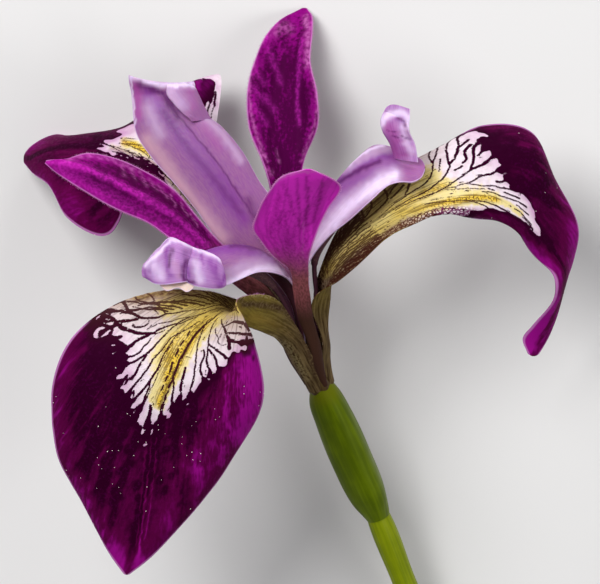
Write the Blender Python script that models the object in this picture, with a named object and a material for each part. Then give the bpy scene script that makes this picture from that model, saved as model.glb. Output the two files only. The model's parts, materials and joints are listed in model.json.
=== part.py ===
"""A cut iris flower lying on its back, as a Blender scene.

The flower is modelled in its own frame, in millimetres: the origin is the top of the perianth tube,
X points to the flower's right, Y along its height and Z towards its face. Three falls and three
standards stand in a ring on the tube, three style arms arch over the falls, and a stamen lies under
each arm. One empty carries every piece and lays the flower down on the surface at Z = 0.
"""

import math

import bmesh
import bpy
import numpy as np
from mathutils import Euler, Vector

MM = 0.001

# The axis of the bloom leans to the left and towards its face.
BLOOM_AXIS = Vector((-0.18, 0.80, 0.57)).normalized()
BLOOM_RIGHT = Vector((0.975, 0.22, 0.0)).normalized()
BLOOM_FRONT = BLOOM_RIGHT.cross(BLOOM_AXIS)

# Azimuths round the tube, in degrees: 0 is the flower's right, 90 its front.
FALL_AZIMUTH = {"right": -5, "front": 125, "back": 235}
STANDARD_AZIMUTH = {"front": 62, "left": 180, "back": 300}

TUBE_TOP_RADIUS = 3.1
SEAT_GAP = 0.4
FALL_SEAT_RADIUS = 2.6
FALL_SEAT_HALF_ANGLE = 26
STANDARD_SEAT_RADIUS = 2.5
STANDARD_SEAT_HALF_ANGLE = 13
ARM_SEAT_RADIUS = 0.75
ARM_SEAT_HALF_ANGLE = 36
STAMEN_SEAT_RADIUS = 1.65

PETAL_THICKNESS = 0.7
ARM_THICKNESS = 0.6
SHARP_EDGE_DEG = 50

# Rows from base to tip and columns from margin to margin.
FALL_GRID = (28, 11)
STANDARD_GRID = (22, 9)
ARM_GRID = (18, 8)
CREST_GRID = (13, 7)

# How far a petal's margins wave out of their sheet, and how many waves run along each.
FALL_RUFFLE = (0.5, 5)
STANDARD_RUFFLE = (0.35, 4)
NO_RUFFLE = (0.0, 0)

# How the bloom lies: the turn that puts its three low points on the surface, and where its origin
# then stands.
LAID_TURN_DEG = (-9.86, 3.98, -0.69)
LAID_ORIGIN = (1.5, 10.71, 20.86)


# Each rib crosses a petal: the midrib point, then the margins in order of rising azimuth. The last
# pair says how far each half swells towards the upper face, in millimetres.
def rib(midrib, low_margin, high_margin, swell=(0.0, 0.0)):
    return midrib, low_margin, high_margin, swell


FALL_RIBS = {
    "front": [
        rib((-3.2, 0.3, 4.6), (-1.4, 2.6, 6.6), (-5.5, 2.6, 5.0)),
        rib((-5.6, 1.6, 8.6), (-4.2, 6.2, 12.4), (-8.3, 5.5, 10.2)),
        rib((-8.2, 2.6, 12.2), (-7.1, 6.9, 15.6), (-11.2, 6.6, 12.6)),
        rib((-10.7, 4.0, 15.2), (-9.6, 6.1, 18.6), (-14.5, 7.3, 14.2)),
        rib((-13.0, 2.9, 17.9), (-8.6, 3.9, 20.0), (-20.0, 7.3, 14.5)),
        rib((-15.3, 0.3, 19.7), (-7.3, 0.6, 20.2), (-25.7, 6.0, 14.8), (0.5, 0.5)),
        rib((-17.4, -4.0, 20.4), (-6.0, -3.3, 19.2), (-31.9, 1.3, 15.2), (0.8, 0.9)),
        rib((-19.4, -8.8, 19.6), (-6.1, -8.2, 17.4), (-35.5, -6.0, 14.6), (0.9, 1.0)),
        rib((-21.1, -14.4, 17.8), (-8.3, -13.4, 15.4), (-35.4, -13.1, 13.4), (0.8, 1.0)),
        rib((-22.6, -20.7, 15.5), (-12.8, -19.7, 13.6), (-33.0, -19.7, 12.0), (0.7, 0.8)),
        rib((-23.9, -26.7, 13.2), (-17.9, -26.2, 12.4), (-29.5, -26.5, 11.0), (0.4, 0.5)),
        rib((-24.7, -30.7, 11.7), (-22.2, -30.7, 11.4), (-27.2, -30.5, 10.9)),
        rib((-25.2, -32.8, 10.9), (-24.8, -32.7, 10.9), (-25.6, -32.7, 10.9)),
    ],
    "right": [
        rib((3.4, 6.0, 3.0), (1.3, 7.1, 1.6), (1.1, 5.7, 5.0)),
        rib((4.1, 10.9, 6.2), (2.9, 12.0, 4.6), (5.1, 9.1, 8.0)),
        rib((7.0, 14.0, 8.6), (4.7, 16.3, 6.4), (8.7, 12.1, 10.6)),
        rib((11.9, 17.4, 10.6), (9.0, 20.9, 7.4), (13.3, 15.6, 12.4)),
        rib((16.7, 19.7, 11.6), (13.9, 24.9, 7.2), (17.6, 17.6, 12.6), (0.5, 0.0)),
        rib((21.4, 20.9, 11.8), (19.0, 27.9, 5.8), (21.9, 18.0, 11.6), (0.8, 0.0)),
        rib((26.1, 20.7, 11.0), (25.7, 30.6, 4.4), (26.0, 17.6, 9.5), (1.0, 0.0)),
        rib((30.1, 18.9, 9.6), (32.1, 29.7, 3.2), (28.9, 16.3, 8.0), (1.0, 0.0)),
        rib((33.1, 15.7, 7.8), (35.7, 23.1, 2.4), (30.9, 14.4, 6.5), (0.7, 0.0)),
        rib((35.0, 12.8, 6.2), (38.7, 16.7, 2.4), (32.8, 12.2, 6.0), (0.3, 0.0)),
        rib((36.5, 10.0, 5.0), (38.3, 12.2, 1.4), (35.2, 9.6, 6.2)),
        rib((36.3, 6.9, 3.4), (36.7, 7.1, 0.4), (35.4, 6.3, 5.6)),
        rib((34.6, 2.7, 2.4), (35.6, 2.9, 0.0), (32.3, 2.3, 3.5)),
        rib((33.1, -0.1, 1.8), (34.7, 0.6, 0.8), (31.0, 0.4, 2.4)),
        rib((32.6, -2.0, 1.5), (33.4, -1.7, 1.3), (31.8, -1.7, 1.8)),
    ],
    "back": [
        rib((-4.3, 7.3, 0.8), (-5.9, 7.6, 2.3), (-3.0, 9.4, 0.6)),
        rib((-7.9, 13.2, 1.7), (-10.2, 13.0, 3.6), (-6.3, 15.8, 1.4)),
        rib((-12.1, 18.9, 1.2), (-14.3, 17.1, 3.0), (-9.8, 22.0, 0.5)),
        rib((-16.5, 23.5, -0.5), (-19.0, 20.9, 1.8), (-13.3, 27.4, -2.5)),
        rib((-20.2, 27.2, -2.4), (-24.3, 21.0, 1.5), (-12.6, 32.0, -5.5), (0.5, 0.5)),
        rib((-23.9, 27.9, -5.0), (-26.4, 17.1, 0.5), (-12.4, 38.6, -8.5), (0.8, 0.8)),
        rib((-28.8, 28.2, -7.8), (-30.4, 15.4, -1.5), (-25.0, 30.8, -16.0), (0.9, 0.9)),
        rib((-33.7, 28.3, -10.5), (-34.3, 18.0, -4.0), (-31.4, 30.2, -17.5), (0.6, 0.6)),
        rib((-37.6, 27.4, -13.0), (-36.8, 22.4, -7.5), (-36.2, 30.1, -18.5)),
        rib((-40.0, 26.4, -15.2), (-39.4, 24.4, -13.0), (-39.8, 28.3, -17.4)),
        rib((-40.8, 26.6, -16.8), (-40.7, 25.8, -16.0), (-40.6, 27.4, -17.4)),
    ],
}

STANDARD_RIBS = {
    "back": [
        rib((-0.7, 7.4, 0.5), (-1.9, 7.2, 0.7), (0.5, 7.6, 0.0)),
        rib((-1.7, 14.6, 0.5), (-3.6, 14.5, 1.0), (-0.1, 14.7, -0.3)),
        rib((-2.4, 21.0, -0.5), (-4.9, 21.4, 0.6), (-0.6, 22.9, -1.5)),
        rib((-3.0, 26.0, -2.0), (-6.4, 26.0, -0.2), (0.1, 26.7, -2.5), (0.3, 0.3)),
        rib((-3.1, 31.0, -4.0), (-7.9, 31.0, -1.8), (1.9, 31.4, -3.0), (0.5, 0.5)),
        rib((-3.0, 35.7, -6.0), (-8.3, 36.0, -4.2), (1.9, 35.3, -3.6), (0.6, 0.6)),
        rib((-2.6, 40.6, -8.2), (-7.1, 40.6, -7.0), (0.7, 40.3, -6.2), (0.5, 0.5)),
        rib((-1.9, 44.7, -10.4), (-4.9, 45.0, -9.8), (1.1, 45.0, -9.2), (0.3, 0.3)),
        rib((-0.9, 47.1, -11.8), (-2.9, 46.9, -11.6), (1.0, 47.1, -11.2)),
        rib((-0.1, 48.2, -12.6), (-0.5, 48.1, -12.6), (0.3, 48.1, -12.6)),
    ],
    "front": [
        rib((0.15, 3.4, 6.1), (1.2, 3.4, 6.1), (-0.9, 3.5, 5.8)),
        rib((-0.55, 7.4, 11.0), (0.6, 7.4, 11.0), (-1.7, 7.7, 10.7)),
        rib((-1.1, 10.7, 15.5), (0.4, 11.0, 15.6), (-2.9, 10.9, 15.2)),
        rib((-2.0, 13.6, 19.6), (0.9, 13.5, 19.5), (-5.8, 13.9, 20.0)),
        rib((-2.2, 16.0, 23.0), (1.9, 16.1, 22.5), (-7.2, 15.8, 23.5), (0.3, 0.4)),
        rib((-1.4, 18.6, 26.0), (3.3, 18.8, 25.0), (-6.5, 18.3, 26.0), (0.4, 0.5)),
        rib((-0.6, 20.9, 28.6), (4.9, 21.6, 27.5), (-5.0, 20.9, 28.6), (0.3, 0.4)),
        rib((-0.1, 22.8, 30.6), (3.6, 22.9, 30.2), (-3.3, 23.1, 30.8)),
        rib((0.4, 24.1, 32.0), (0.9, 24.1, 32.0), (-0.1, 24.1, 32.0)),
    ],
    "left": [
        rib((-4.2, 4.6, 3.2), (-4.6, 3.6, 4.3), (-3.6, 5.4, 2.5)),
        rib((-8.4, 8.9, 5.5), (-9.2, 7.6, 6.4), (-7.4, 10.2, 4.6)),
        rib((-13.9, 13.1, 8.0), (-15.0, 12.6, 9.0), (-12.6, 14.6, 6.6)),
        rib((-17.0, 16.7, 9.4), (-18.4, 14.4, 10.4), (-15.1, 18.0, 7.4), (-0.4, -0.4)),
        rib((-20.4, 19.1, 10.6), (-21.9, 16.6, 10.8), (-17.9, 20.9, 7.8), (-0.6, -0.6)),
        rib((-24.3, 21.1, 11.6), (-25.6, 18.4, 11.0), (-21.9, 23.7, 8.2), (-0.7, -0.7)),
        rib((-28.1, 23.0, 12.3), (-29.3, 20.3, 11.4), (-26.4, 26.0, 9.0), (-0.6, -0.6)),
        rib((-31.2, 24.4, 12.7), (-32.5, 22.2, 11.8), (-30.7, 26.7, 10.4), (-0.4, -0.4)),
        rib((-34.0, 25.2, 12.9), (-35.0, 23.9, 12.4), (-33.7, 25.9, 12.0)),
        rib((-36.6, 25.5, 12.8), (-36.7, 25.3, 12.8), (-36.5, 25.7, 12.8)),
    ],
}

ARM_RIBS = {
    "front": [
        rib((-1.7, 6.7, 4.5), (-0.9, 6.6, 5.6), (-2.6, 6.6, 3.6)),
        rib((-4.3, 11.4, 8.0), (-2.9, 9.3, 9.8), (-6.2, 10.4, 6.2)),
        rib((-7.9, 13.4, 11.5), (-6.6, 9.9, 14.2), (-11.2, 11.9, 9.2)),
        rib((-11.4, 13.1, 15.0), (-9.6, 8.7, 17.2), (-14.8, 11.6, 12.4)),
        rib((-14.3, 12.0, 17.4), (-11.6, 8.0, 18.9), (-17.0, 10.6, 15.4)),
        rib((-16.9, 10.8, 19.5), (-16.0, 8.9, 19.9), (-17.6, 10.4, 19.0)),
    ],
    "right": [
        rib((0.4, 6.0, 2.6), (0.0, 6.4, 1.4), (0.6, 5.4, 3.4)),
        rib((0.1, 13.9, 6.2), (-0.5, 15.0, 4.8), (0.6, 11.4, 8.0)),
        rib((2.4, 17.7, 8.6), (1.6, 19.6, 6.4), (3.3, 14.9, 10.5)),
        rib((5.3, 21.4, 10.3), (4.3, 22.6, 7.8), (6.4, 17.4, 12.3)),
        rib((8.0, 24.6, 11.4), (7.0, 25.6, 8.6), (9.4, 20.1, 13.4)),
        rib((10.7, 26.0, 12.0), (10.0, 27.9, 9.0), (11.9, 22.2, 13.8)),
        rib((13.0, 25.4, 12.4), (12.3, 27.6, 10.0), (13.6, 22.6, 14.2)),
        rib((15.0, 25.0, 12.7), (14.8, 26.6, 11.0), (15.3, 22.6, 14.6)),
        rib((16.4, 24.8, 12.9), (16.4, 25.8, 11.8), (16.5, 23.4, 14.0)),
        rib((16.9, 24.7, 13.0), (16.9, 25.0, 12.7), (16.9, 24.4, 13.3)),
    ],
    "back": [
        rib((-1.9, 6.0, 2.2), (-2.9, 5.6, 2.6), (-1.1, 6.6, 1.4)),
        rib((-4.7, 12.4, 4.6), (-7.4, 11.4, 5.2), (-3.1, 14.1, 3.6)),
        rib((-7.3, 17.1, 5.6), (-11.9, 14.0, 5.6), (-4.6, 19.9, 4.0)),
        rib((-10.3, 22.1, 6.0), (-15.7, 19.1, 5.0), (-6.7, 23.1, 4.0)),
        rib((-13.1, 26.3, 5.8), (-19.0, 23.1, 4.4), (-9.1, 27.3, 3.4)),
        rib((-15.7, 29.6, 5.2), (-21.9, 26.4, 3.4), (-11.9, 30.6, 2.6)),
        rib((-17.9, 32.1, 4.4), (-24.1, 30.0, 2.6), (-14.4, 32.7, 2.4)),
        rib((-19.3, 34.3, 3.6), (-24.6, 34.3, 2.4), (-15.4, 35.1, 2.0)),
        rib((-20.3, 36.6, 2.6), (-25.0, 38.1, 2.6), (-16.1, 36.9, 1.6)),
    ],
}

# A crest is a second sheet at the end of its arm. Its ribs run from the foot of the lobe to the
# lobe's free edge, from one side of the arm to the other.
CREST_RIBS = {
    "front": [
        rib((-22.8, 10.1, 19.5), (-22.6, 9.2, 19.5), (-22.4, 11.2, 19.5)),
        rib((-21.1, 10.8, 20.6), (-21.0, 8.3, 20.4), (-20.5, 13.3, 20.2)),
        rib((-19.3, 11.4, 20.2), (-19.4, 8.2, 20.2), (-18.9, 14.8, 19.4)),
        rib((-17.8, 11.3, 20.4), (-17.9, 8.4, 20.4), (-17.1, 14.1, 19.6)),
        rib((-16.6, 10.9, 19.2), (-16.6, 8.5, 19.4), (-15.6, 13.4, 18.8)),
        rib((-14.8, 10.6, 21.4), (-15.0, 7.9, 21.2), (-14.1, 12.9, 20.6)),
        rib((-13.0, 10.1, 22.0), (-13.0, 7.6, 21.6), (-12.7, 12.3, 21.2)),
        rib((-11.6, 9.5, 21.4), (-11.5, 7.7, 21.2), (-11.8, 11.5, 21.0)),
        rib((-11.1, 9.0, 21.0), (-11.1, 8.0, 21.0), (-11.4, 10.4, 21.0)),
    ],
    "right": [
        rib((12.8, 26.0, 12.6), (15.9, 25.4, 14.1), (15.4, 26.1, 10.8)),
        rib((12.0, 28.2, 12.6), (15.5, 28.0, 14.4), (15.0, 28.8, 10.9)),
        rib((11.0, 30.0, 12.6), (14.7, 29.9, 14.5), (14.7, 30.4, 10.9)),
        rib((10.8, 31.3, 12.5), (14.5, 31.4, 14.3), (14.8, 31.9, 10.7)),
        rib((11.2, 32.3, 12.3), (14.2, 32.0, 13.9), (14.8, 33.0, 10.6)),
    ],
    "back": [
        rib((-14.6, 31.5, 4.3), (-13.3, 31.6, 2.8), (-16.1, 31.4, 5.6)),
        rib((-16.0, 33.9, 4.6), (-14.7, 34.0, 2.8), (-18.4, 33.6, 6.0)),
        rib((-17.4, 35.7, 4.4), (-15.7, 36.2, 2.4), (-19.7, 35.4, 5.4)),
        rib((-17.8, 36.8, 3.6), (-16.2, 37.0, 2.2), (-19.6, 36.6, 4.4)),
    ],
}

# The middle line of each stamen, from above its seat to the anther's tip, under its style arm.
STAMEN_LINES = {
    "front": [(-2.3, 4.4, 4.6), (-4.9, 8.4, 8.2), (-8.2, 10.2, 11.9), (-11.3, 10.0, 15.2)],
    "right": [(1.7, 5.9, 2.9), (1.6, 12.6, 6.3), (3.9, 16.4, 8.5), (7.2, 19.9, 10.0)],
    "back": [(-3.0, 6.6, 1.6), (-5.8, 12.7, 3.3), (-8.8, 17.8, 3.7), (-12.0, 22.6, 3.6)],
}
FILAMENT_RADIUS = 0.4
ANTHER_RADIUS = 0.75
ANTHER_START = 0.52
STAMEN_STATIONS = 18
STAMEN_SIDES = 10

# Each stalk is a line of points and the radius at each. The tube widens to the petals' seats, and
# the ovary is swollen between the tube and the stem.
TUBE_LINE = [(2.2, -6.3, -4.2), (1.5, -4.6, -3.2), (0.7, -2.4, -1.7), (0.0, 0.0, 0.0)]
TUBE_RADII = [1.9, 2.0, 2.5, TUBE_TOP_RADIUS]
TUBE_STATIONS = 8
OVARY_LINE = [
    (2.4, -6.6, -4.3),
    (4.4, -11.0, -6.4),
    (7.0, -17.0, -9.2),
    (9.6, -22.9, -12.0),
    (10.3, -24.6, -12.8),
]
OVARY_RADII = [2.0, 2.75, 2.95, 2.5, 2.0]
OVARY_STATIONS = 14
STEM_LINE = [(10.45, -24.9, -12.95), (14.3, -34.6, -17.4), (19.8, -48.4, -23.2), (25.3, -62.1, -28.4)]
STEM_RADII = [1.65, 1.7, 1.8, 1.85]
STEM_STATIONS = 16
STALK_SIDES = 24


def ring_point(azimuth_deg, radius, height):
    """A point round the bloom's axis, at that height above the top of the tube."""
    angle = math.radians(azimuth_deg)
    out = math.cos(angle) * BLOOM_RIGHT + math.sin(angle) * BLOOM_FRONT
    return tuple(out * radius + BLOOM_AXIS * height)


def seat_rib(azimuth, radius, half_angle):
    """The rib where a petal stands on the tube."""
    return rib(
        ring_point(azimuth, radius, SEAT_GAP),
        ring_point(azimuth - half_angle, radius, SEAT_GAP),
        ring_point(azimuth + half_angle, radius, SEAT_GAP),
    )


def through_knots(knots, values, at):
    """A smooth curve through the values at the knots, read at each place in at."""
    slopes = np.gradient(values, knots, axis=0)
    index = np.clip(np.searchsorted(knots, at, side="right") - 1, 0, len(knots) - 2)
    gap = (knots[index + 1] - knots[index]).reshape(-1, 1)
    t = ((at - knots[index]) / gap.ravel()).reshape(-1, 1)
    start, end = values[index], values[index + 1]
    return (
        (2 * t**3 - 3 * t**2 + 1) * start
        + (t**3 - 2 * t**2 + t) * gap * slopes[index]
        + (3 * t**2 - 2 * t**3) * end
        + (t**3 - t**2) * gap * slopes[index + 1]
    )


def petal_surface(ribs, rows_and_columns, ruffle=NO_RUFFLE):
    """The middle surface of a petal, as a grid of points from base to tip and margin to margin."""
    rows, columns = rows_and_columns
    lines = np.array([[r[0], r[1], r[2]] for r in ribs])
    swell = np.array([r[3] for r in ribs])
    steps = np.linalg.norm(np.diff(lines, axis=0), axis=2).mean(axis=1)
    knots = np.concatenate([[0.0], np.cumsum(steps)])
    at = np.linspace(0.0, knots[-1], rows)
    values = through_knots(knots, np.hstack([lines.reshape(len(ribs), 9), swell]), at)
    middle, low, high = values[:, 0:3], values[:, 3:6], values[:, 6:9]
    across = np.linspace(-1.0, 1.0, columns)
    grid = np.empty((rows, columns, 3))
    for j, v in enumerate(across):
        grid[:, j] = middle + (high - low) / 2 * v + ((high + low) / 2 - middle) * v**2
    up = surface_normals(grid)
    for j, v in enumerate(across):
        side = values[:, 9:10] if v < 0 else values[:, 10:11]
        grid[:, j] += up[:, j] * side * 4 * (v**2 - v**4)
        grid[:, j] += up[:, j] * margin_wave(at / knots[-1], v, ruffle)
    return grid


def margin_wave(along, v, ruffle):
    """How far a ruffled margin stands out of the sheet, fading to nothing at the midrib and both ends."""
    height, count = ruffle
    phase = 0.9 if v < 0 else 2.6
    wave = np.sin(2 * math.pi * count * along + phase) * np.sin(math.pi * along) ** 2
    return (height * abs(v) ** 4 * wave).reshape(-1, 1)


def surface_normals(grid):
    """Unit vectors out of the upper face at each point of the grid."""
    along = np.gradient(grid, axis=0)
    across = np.gradient(grid, axis=1)
    up = np.cross(across, along)
    return up / np.linalg.norm(up, axis=2, keepdims=True)


def sheet_mesh(name, grid, thickness):
    """A closed sheet with the grid as its middle surface. Both faces are split alike."""
    rows, columns = grid.shape[:2]
    up = surface_normals(grid) * thickness / 2
    points = np.concatenate([(grid + up).reshape(-1, 3), (grid - up).reshape(-1, 3)])
    under = rows * columns
    faces = []
    for i in range(rows - 1):
        for j in range(columns - 1):
            a = i * columns + j
            b, c, d = a + 1, a + columns + 1, a + columns
            faces += [(a, b, c), (a, c, d)]
            faces += [(under + c, under + b, under + a), (under + d, under + c, under + a)]
    top_edge = list(range(columns))
    far_edge = [i * columns + columns - 1 for i in range(1, rows)]
    end_edge = [(rows - 1) * columns + j for j in range(columns - 2, -1, -1)]
    near_edge = [i * columns for i in range(rows - 2, 0, -1)]
    loop = top_edge + far_edge + end_edge + near_edge
    for a, b in zip(loop, loop[1:] + loop[:1]):
        faces += [(b, a, under + a), (b, under + a, under + b)]
    return closed_mesh(name, points, faces)


def closed_mesh(name, points, faces):
    """A mesh in metres whose faces all point outwards."""
    mesh = bpy.data.meshes.new(name)
    mesh.from_pydata([tuple(p) for p in np.asarray(points) * MM], [], faces)
    body = bmesh.new()
    body.from_mesh(mesh)
    bmesh.ops.recalc_face_normals(body, faces=body.faces)
    body.to_mesh(mesh)
    body.free()
    mesh.shade_smooth()
    mesh.set_sharp_from_angle(angle=math.radians(SHARP_EDGE_DEG))
    return mesh


def stalk_mesh(name, stations, sides, section):
    """A closed stalk along stations of (centre, radius). section gives the radius at each angle."""
    centres = np.array([s[0] for s in stations], float)
    along = np.gradient(centres, axis=0)
    points, faces = [], []
    for (centre, radius), way in zip(stations, along):
        way = Vector(way).normalized()
        side = way.cross(Vector((0, 0, 1))).normalized()
        other = way.cross(side)
        for k in range(sides):
            angle = 2 * math.pi * k / sides
            reach = radius * section(angle)
            points.append(Vector(centre) + (math.cos(angle) * side + math.sin(angle) * other) * reach)
    last = len(stations) - 1
    for i in range(last):
        for k in range(sides):
            a, b = i * sides + k, i * sides + (k + 1) % sides
            faces += [(a, b, b + sides), (a, b + sides, a + sides)]
    faces.append(tuple(range(sides)))
    faces.append(tuple(last * sides + k for k in range(sides)))
    return closed_mesh(name, points, faces)


def smooth_stations(points, radii, count):
    """Stations along a smooth curve through a few points, with a radius read beside each."""
    points = np.array(points, float)
    steps = np.linalg.norm(np.diff(points, axis=0), axis=1)
    knots = np.concatenate([[0.0], np.cumsum(steps)])
    at = np.linspace(0.0, knots[-1], count)
    values = through_knots(knots, np.column_stack([points, radii]), at)
    return [(tuple(v[:3]), v[3]) for v in values]


def plain_material(name, colour, roughness):
    material = bpy.data.materials.new(name)
    material.use_nodes = True
    shader = material.node_tree.nodes["Principled BSDF"]
    shader.inputs["Base Color"].default_value = (*colour, 1.0)
    shader.inputs["Roughness"].default_value = roughness
    shader.inputs["Metallic"].default_value = 0.0
    return material


def place(name, mesh, material, carrier):
    piece = bpy.data.objects.new(name, mesh)
    mesh.materials.append(material)
    bpy.context.scene.collection.objects.link(piece)
    piece.parent = carrier
    return piece


def join(base, extra):
    """Fuses the extra piece into the base piece."""
    union = base.modifiers.new("fused", "BOOLEAN")
    union.operation = "UNION"
    union.object = extra
    bpy.context.view_layer.update()
    graph = bpy.context.evaluated_depsgraph_get()
    mesh = bpy.data.meshes.new_from_object(base.evaluated_get(graph))
    base.modifiers.clear()
    base.data = mesh
    bpy.data.objects.remove(extra)


def round_section(angle):
    return 1.0


def ovary_section(angle):
    """Three rounded ribs with a shallow furrow down each."""
    return 1.0 + 0.07 * math.cos(3 * angle) - 0.03 * math.cos(6 * angle)


def anther_section(angle):
    """Two long pollen sacs side by side."""
    return 0.8 + 0.2 * math.cos(2 * angle)


def stamen_radius(along):
    """The stamen's radius at a place from 0 at its foot to 1 at its tip."""
    if along < ANTHER_START:
        return FILAMENT_RADIUS
    into_anther = (along - ANTHER_START) / (1 - ANTHER_START)
    swell = math.sin(math.pi * min(1.0, 0.1 + 0.86 * into_anther))
    return FILAMENT_RADIUS + (ANTHER_RADIUS - FILAMENT_RADIUS) * swell


def make_fall(side, azimuth, material, carrier):
    """A broad outer petal: a narrow claw that rises from the tube, and a blade that arches down."""
    name = "fall_" + side
    ribs = [seat_rib(azimuth, FALL_SEAT_RADIUS, FALL_SEAT_HALF_ANGLE)] + FALL_RIBS[side]
    grid = petal_surface(ribs, FALL_GRID, FALL_RUFFLE)
    place(name, sheet_mesh(name, grid, PETAL_THICKNESS), material, carrier)


def make_standard(side, azimuth, material, carrier):
    """A narrow inner petal."""
    name = "standard_" + side
    ribs = [seat_rib(azimuth, STANDARD_SEAT_RADIUS, STANDARD_SEAT_HALF_ANGLE)] + STANDARD_RIBS[side]
    grid = petal_surface(ribs, STANDARD_GRID, STANDARD_RUFFLE)
    place(name, sheet_mesh(name, grid, PETAL_THICKNESS), material, carrier)


def make_style_arm(side, azimuth, material, carrier):
    """A petal-like arm of the style, arched over a fall, with an upturned crest at its end."""
    name = "style_arm_" + side
    ribs = [seat_rib(azimuth, ARM_SEAT_RADIUS, ARM_SEAT_HALF_ANGLE)] + ARM_RIBS[side]
    arm_mesh = sheet_mesh(name, petal_surface(ribs, ARM_GRID), ARM_THICKNESS)
    arm = place(name, arm_mesh, material, carrier)
    crest_name = name + "_crest"
    crest_mesh = sheet_mesh(crest_name, petal_surface(CREST_RIBS[side], CREST_GRID), ARM_THICKNESS)
    crest = place(crest_name, crest_mesh, material, carrier)
    join(arm, crest)


def make_stamen(side, azimuth, material, carrier):
    """A thin filament with a long anther, tucked under a style arm."""
    name = "stamen_" + side
    line = [ring_point(azimuth, STAMEN_SEAT_RADIUS, SEAT_GAP)] + STAMEN_LINES[side]
    path = smooth_stations(line, [0.0] * len(line), STAMEN_STATIONS)
    last = STAMEN_STATIONS - 1
    stations = [(point, stamen_radius(i / last)) for i, (point, _) in enumerate(path)]
    place(name, stalk_mesh(name, stations, STAMEN_SIDES, anther_section), material, carrier)


def make_stalk(name, line, radii, count, section, material, carrier):
    stations = smooth_stations(line, radii, count)
    place(name, stalk_mesh(name, stations, STALK_SIDES, section), material, carrier)


def clear_scene():
    for thing in list(bpy.data.objects):
        bpy.data.objects.remove(thing)


def main():
    clear_scene()
    carrier = bpy.data.objects.new("flower_frame", None)
    bpy.context.scene.collection.objects.link(carrier)
    carrier.rotation_euler = Euler([math.radians(angle) for angle in LAID_TURN_DEG], "XYZ")
    carrier.location = Vector(LAID_ORIGIN) * MM

    fall = plain_material("fall", (0.17, 0.003, 0.13), 0.5)
    standard = plain_material("standard", (0.30, 0.01, 0.24), 0.5)
    style = plain_material("style", (0.55, 0.33, 0.68), 0.45)
    anther = plain_material("anther", (0.50, 0.42, 0.30), 0.7)
    tube = plain_material("tube", (0.12, 0.06, 0.03), 0.6)
    green = plain_material("green", (0.16, 0.26, 0.02), 0.45)

    for side, azimuth in FALL_AZIMUTH.items():
        make_fall(side, azimuth, fall, carrier)
        make_style_arm(side, azimuth, style, carrier)
        make_stamen(side, azimuth, anther, carrier)
    for side, azimuth in STANDARD_AZIMUTH.items():
        make_standard(side, azimuth, standard, carrier)

    make_stalk("perianth_tube", TUBE_LINE, TUBE_RADII, TUBE_STATIONS, round_section, tube, carrier)
    make_stalk("ovary", OVARY_LINE, OVARY_RADII, OVARY_STATIONS, ovary_section, green, carrier)
    make_stalk("stem", STEM_LINE, STEM_RADII, STEM_STATIONS, round_section, green, carrier)


main()
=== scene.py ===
# %% [markdown]
# # An iris flower, cut and laid down
# The flower has three broad falls that arch outwards, three narrow standards between them, and three
# petal-like style arms that lie over the falls. All of them grow from one short tube above the ovary.
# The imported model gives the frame: its size, its bodies and the nodes that the fine pieces stand for.

# %% The frame
import json
import math

import bpy
import numpy as np
from mathutils import Euler, Matrix, Vector, kdtree

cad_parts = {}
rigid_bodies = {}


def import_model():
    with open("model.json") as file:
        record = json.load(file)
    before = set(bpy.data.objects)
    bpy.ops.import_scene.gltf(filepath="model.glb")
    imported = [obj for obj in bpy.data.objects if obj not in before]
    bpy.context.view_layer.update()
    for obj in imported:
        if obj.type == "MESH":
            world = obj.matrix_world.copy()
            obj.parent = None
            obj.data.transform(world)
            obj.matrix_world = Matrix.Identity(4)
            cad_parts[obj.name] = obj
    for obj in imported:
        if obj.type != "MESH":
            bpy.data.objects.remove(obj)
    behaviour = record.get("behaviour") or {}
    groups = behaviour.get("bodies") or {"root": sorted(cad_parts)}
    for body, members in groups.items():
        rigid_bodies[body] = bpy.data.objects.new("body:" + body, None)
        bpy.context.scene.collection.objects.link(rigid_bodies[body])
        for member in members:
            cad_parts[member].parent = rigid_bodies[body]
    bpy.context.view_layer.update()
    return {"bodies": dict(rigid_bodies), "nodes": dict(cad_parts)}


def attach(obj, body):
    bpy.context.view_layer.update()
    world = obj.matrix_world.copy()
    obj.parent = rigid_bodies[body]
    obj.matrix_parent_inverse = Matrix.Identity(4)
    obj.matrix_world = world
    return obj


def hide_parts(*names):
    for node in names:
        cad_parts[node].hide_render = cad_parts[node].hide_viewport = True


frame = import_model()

MM = 0.001
print("nodes:", len(frame["nodes"]), "body names:", sorted(frame["bodies"]))

# %% [markdown]
# The petals are easiest to shape in the flower's own frame, in millimetres: the origin is the top of
# the tube, X points to the flower's right, Y along its height and Z out of its face. One turn and one
# shift then lay the whole flower down on the surface, as in the frame.

# %% The flower's own frame
LAID_TURN_DEG = (-9.86, 3.98, -0.69)
LAID_ORIGIN = (1.5, 10.71, 20.86)
laid_turn = Euler([math.radians(angle) for angle in LAID_TURN_DEG], "XYZ").to_matrix()
laid = Matrix.Translation(Vector(LAID_ORIGIN) * MM) @ laid_turn.to_4x4()
laid_rotation = np.array(laid_turn)

BLOOM_AXIS = Vector((-0.18, 0.80, 0.57)).normalized()
BLOOM_RIGHT = Vector((0.975, 0.22, 0.0)).normalized()
BLOOM_FRONT = BLOOM_RIGHT.cross(BLOOM_AXIS)
print("bloom axis leans", round(math.degrees(BLOOM_AXIS.angle(Vector((0, 1, 0)))), 1), "degrees")


def ring_point(azimuth_deg, radius, height):
    """A point round the bloom's axis, in mm, at that height above the top of the tube."""
    angle = math.radians(azimuth_deg)
    out = math.cos(angle) * BLOOM_RIGHT + math.sin(angle) * BLOOM_FRONT
    return tuple(out * radius + BLOOM_AXIS * height)


def to_world(points):
    """Points in the flower's frame, in mm, as metres in the laid frame."""
    return (np.asarray(points, float) @ laid_rotation.T + np.array(LAID_ORIGIN)) * MM


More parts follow.
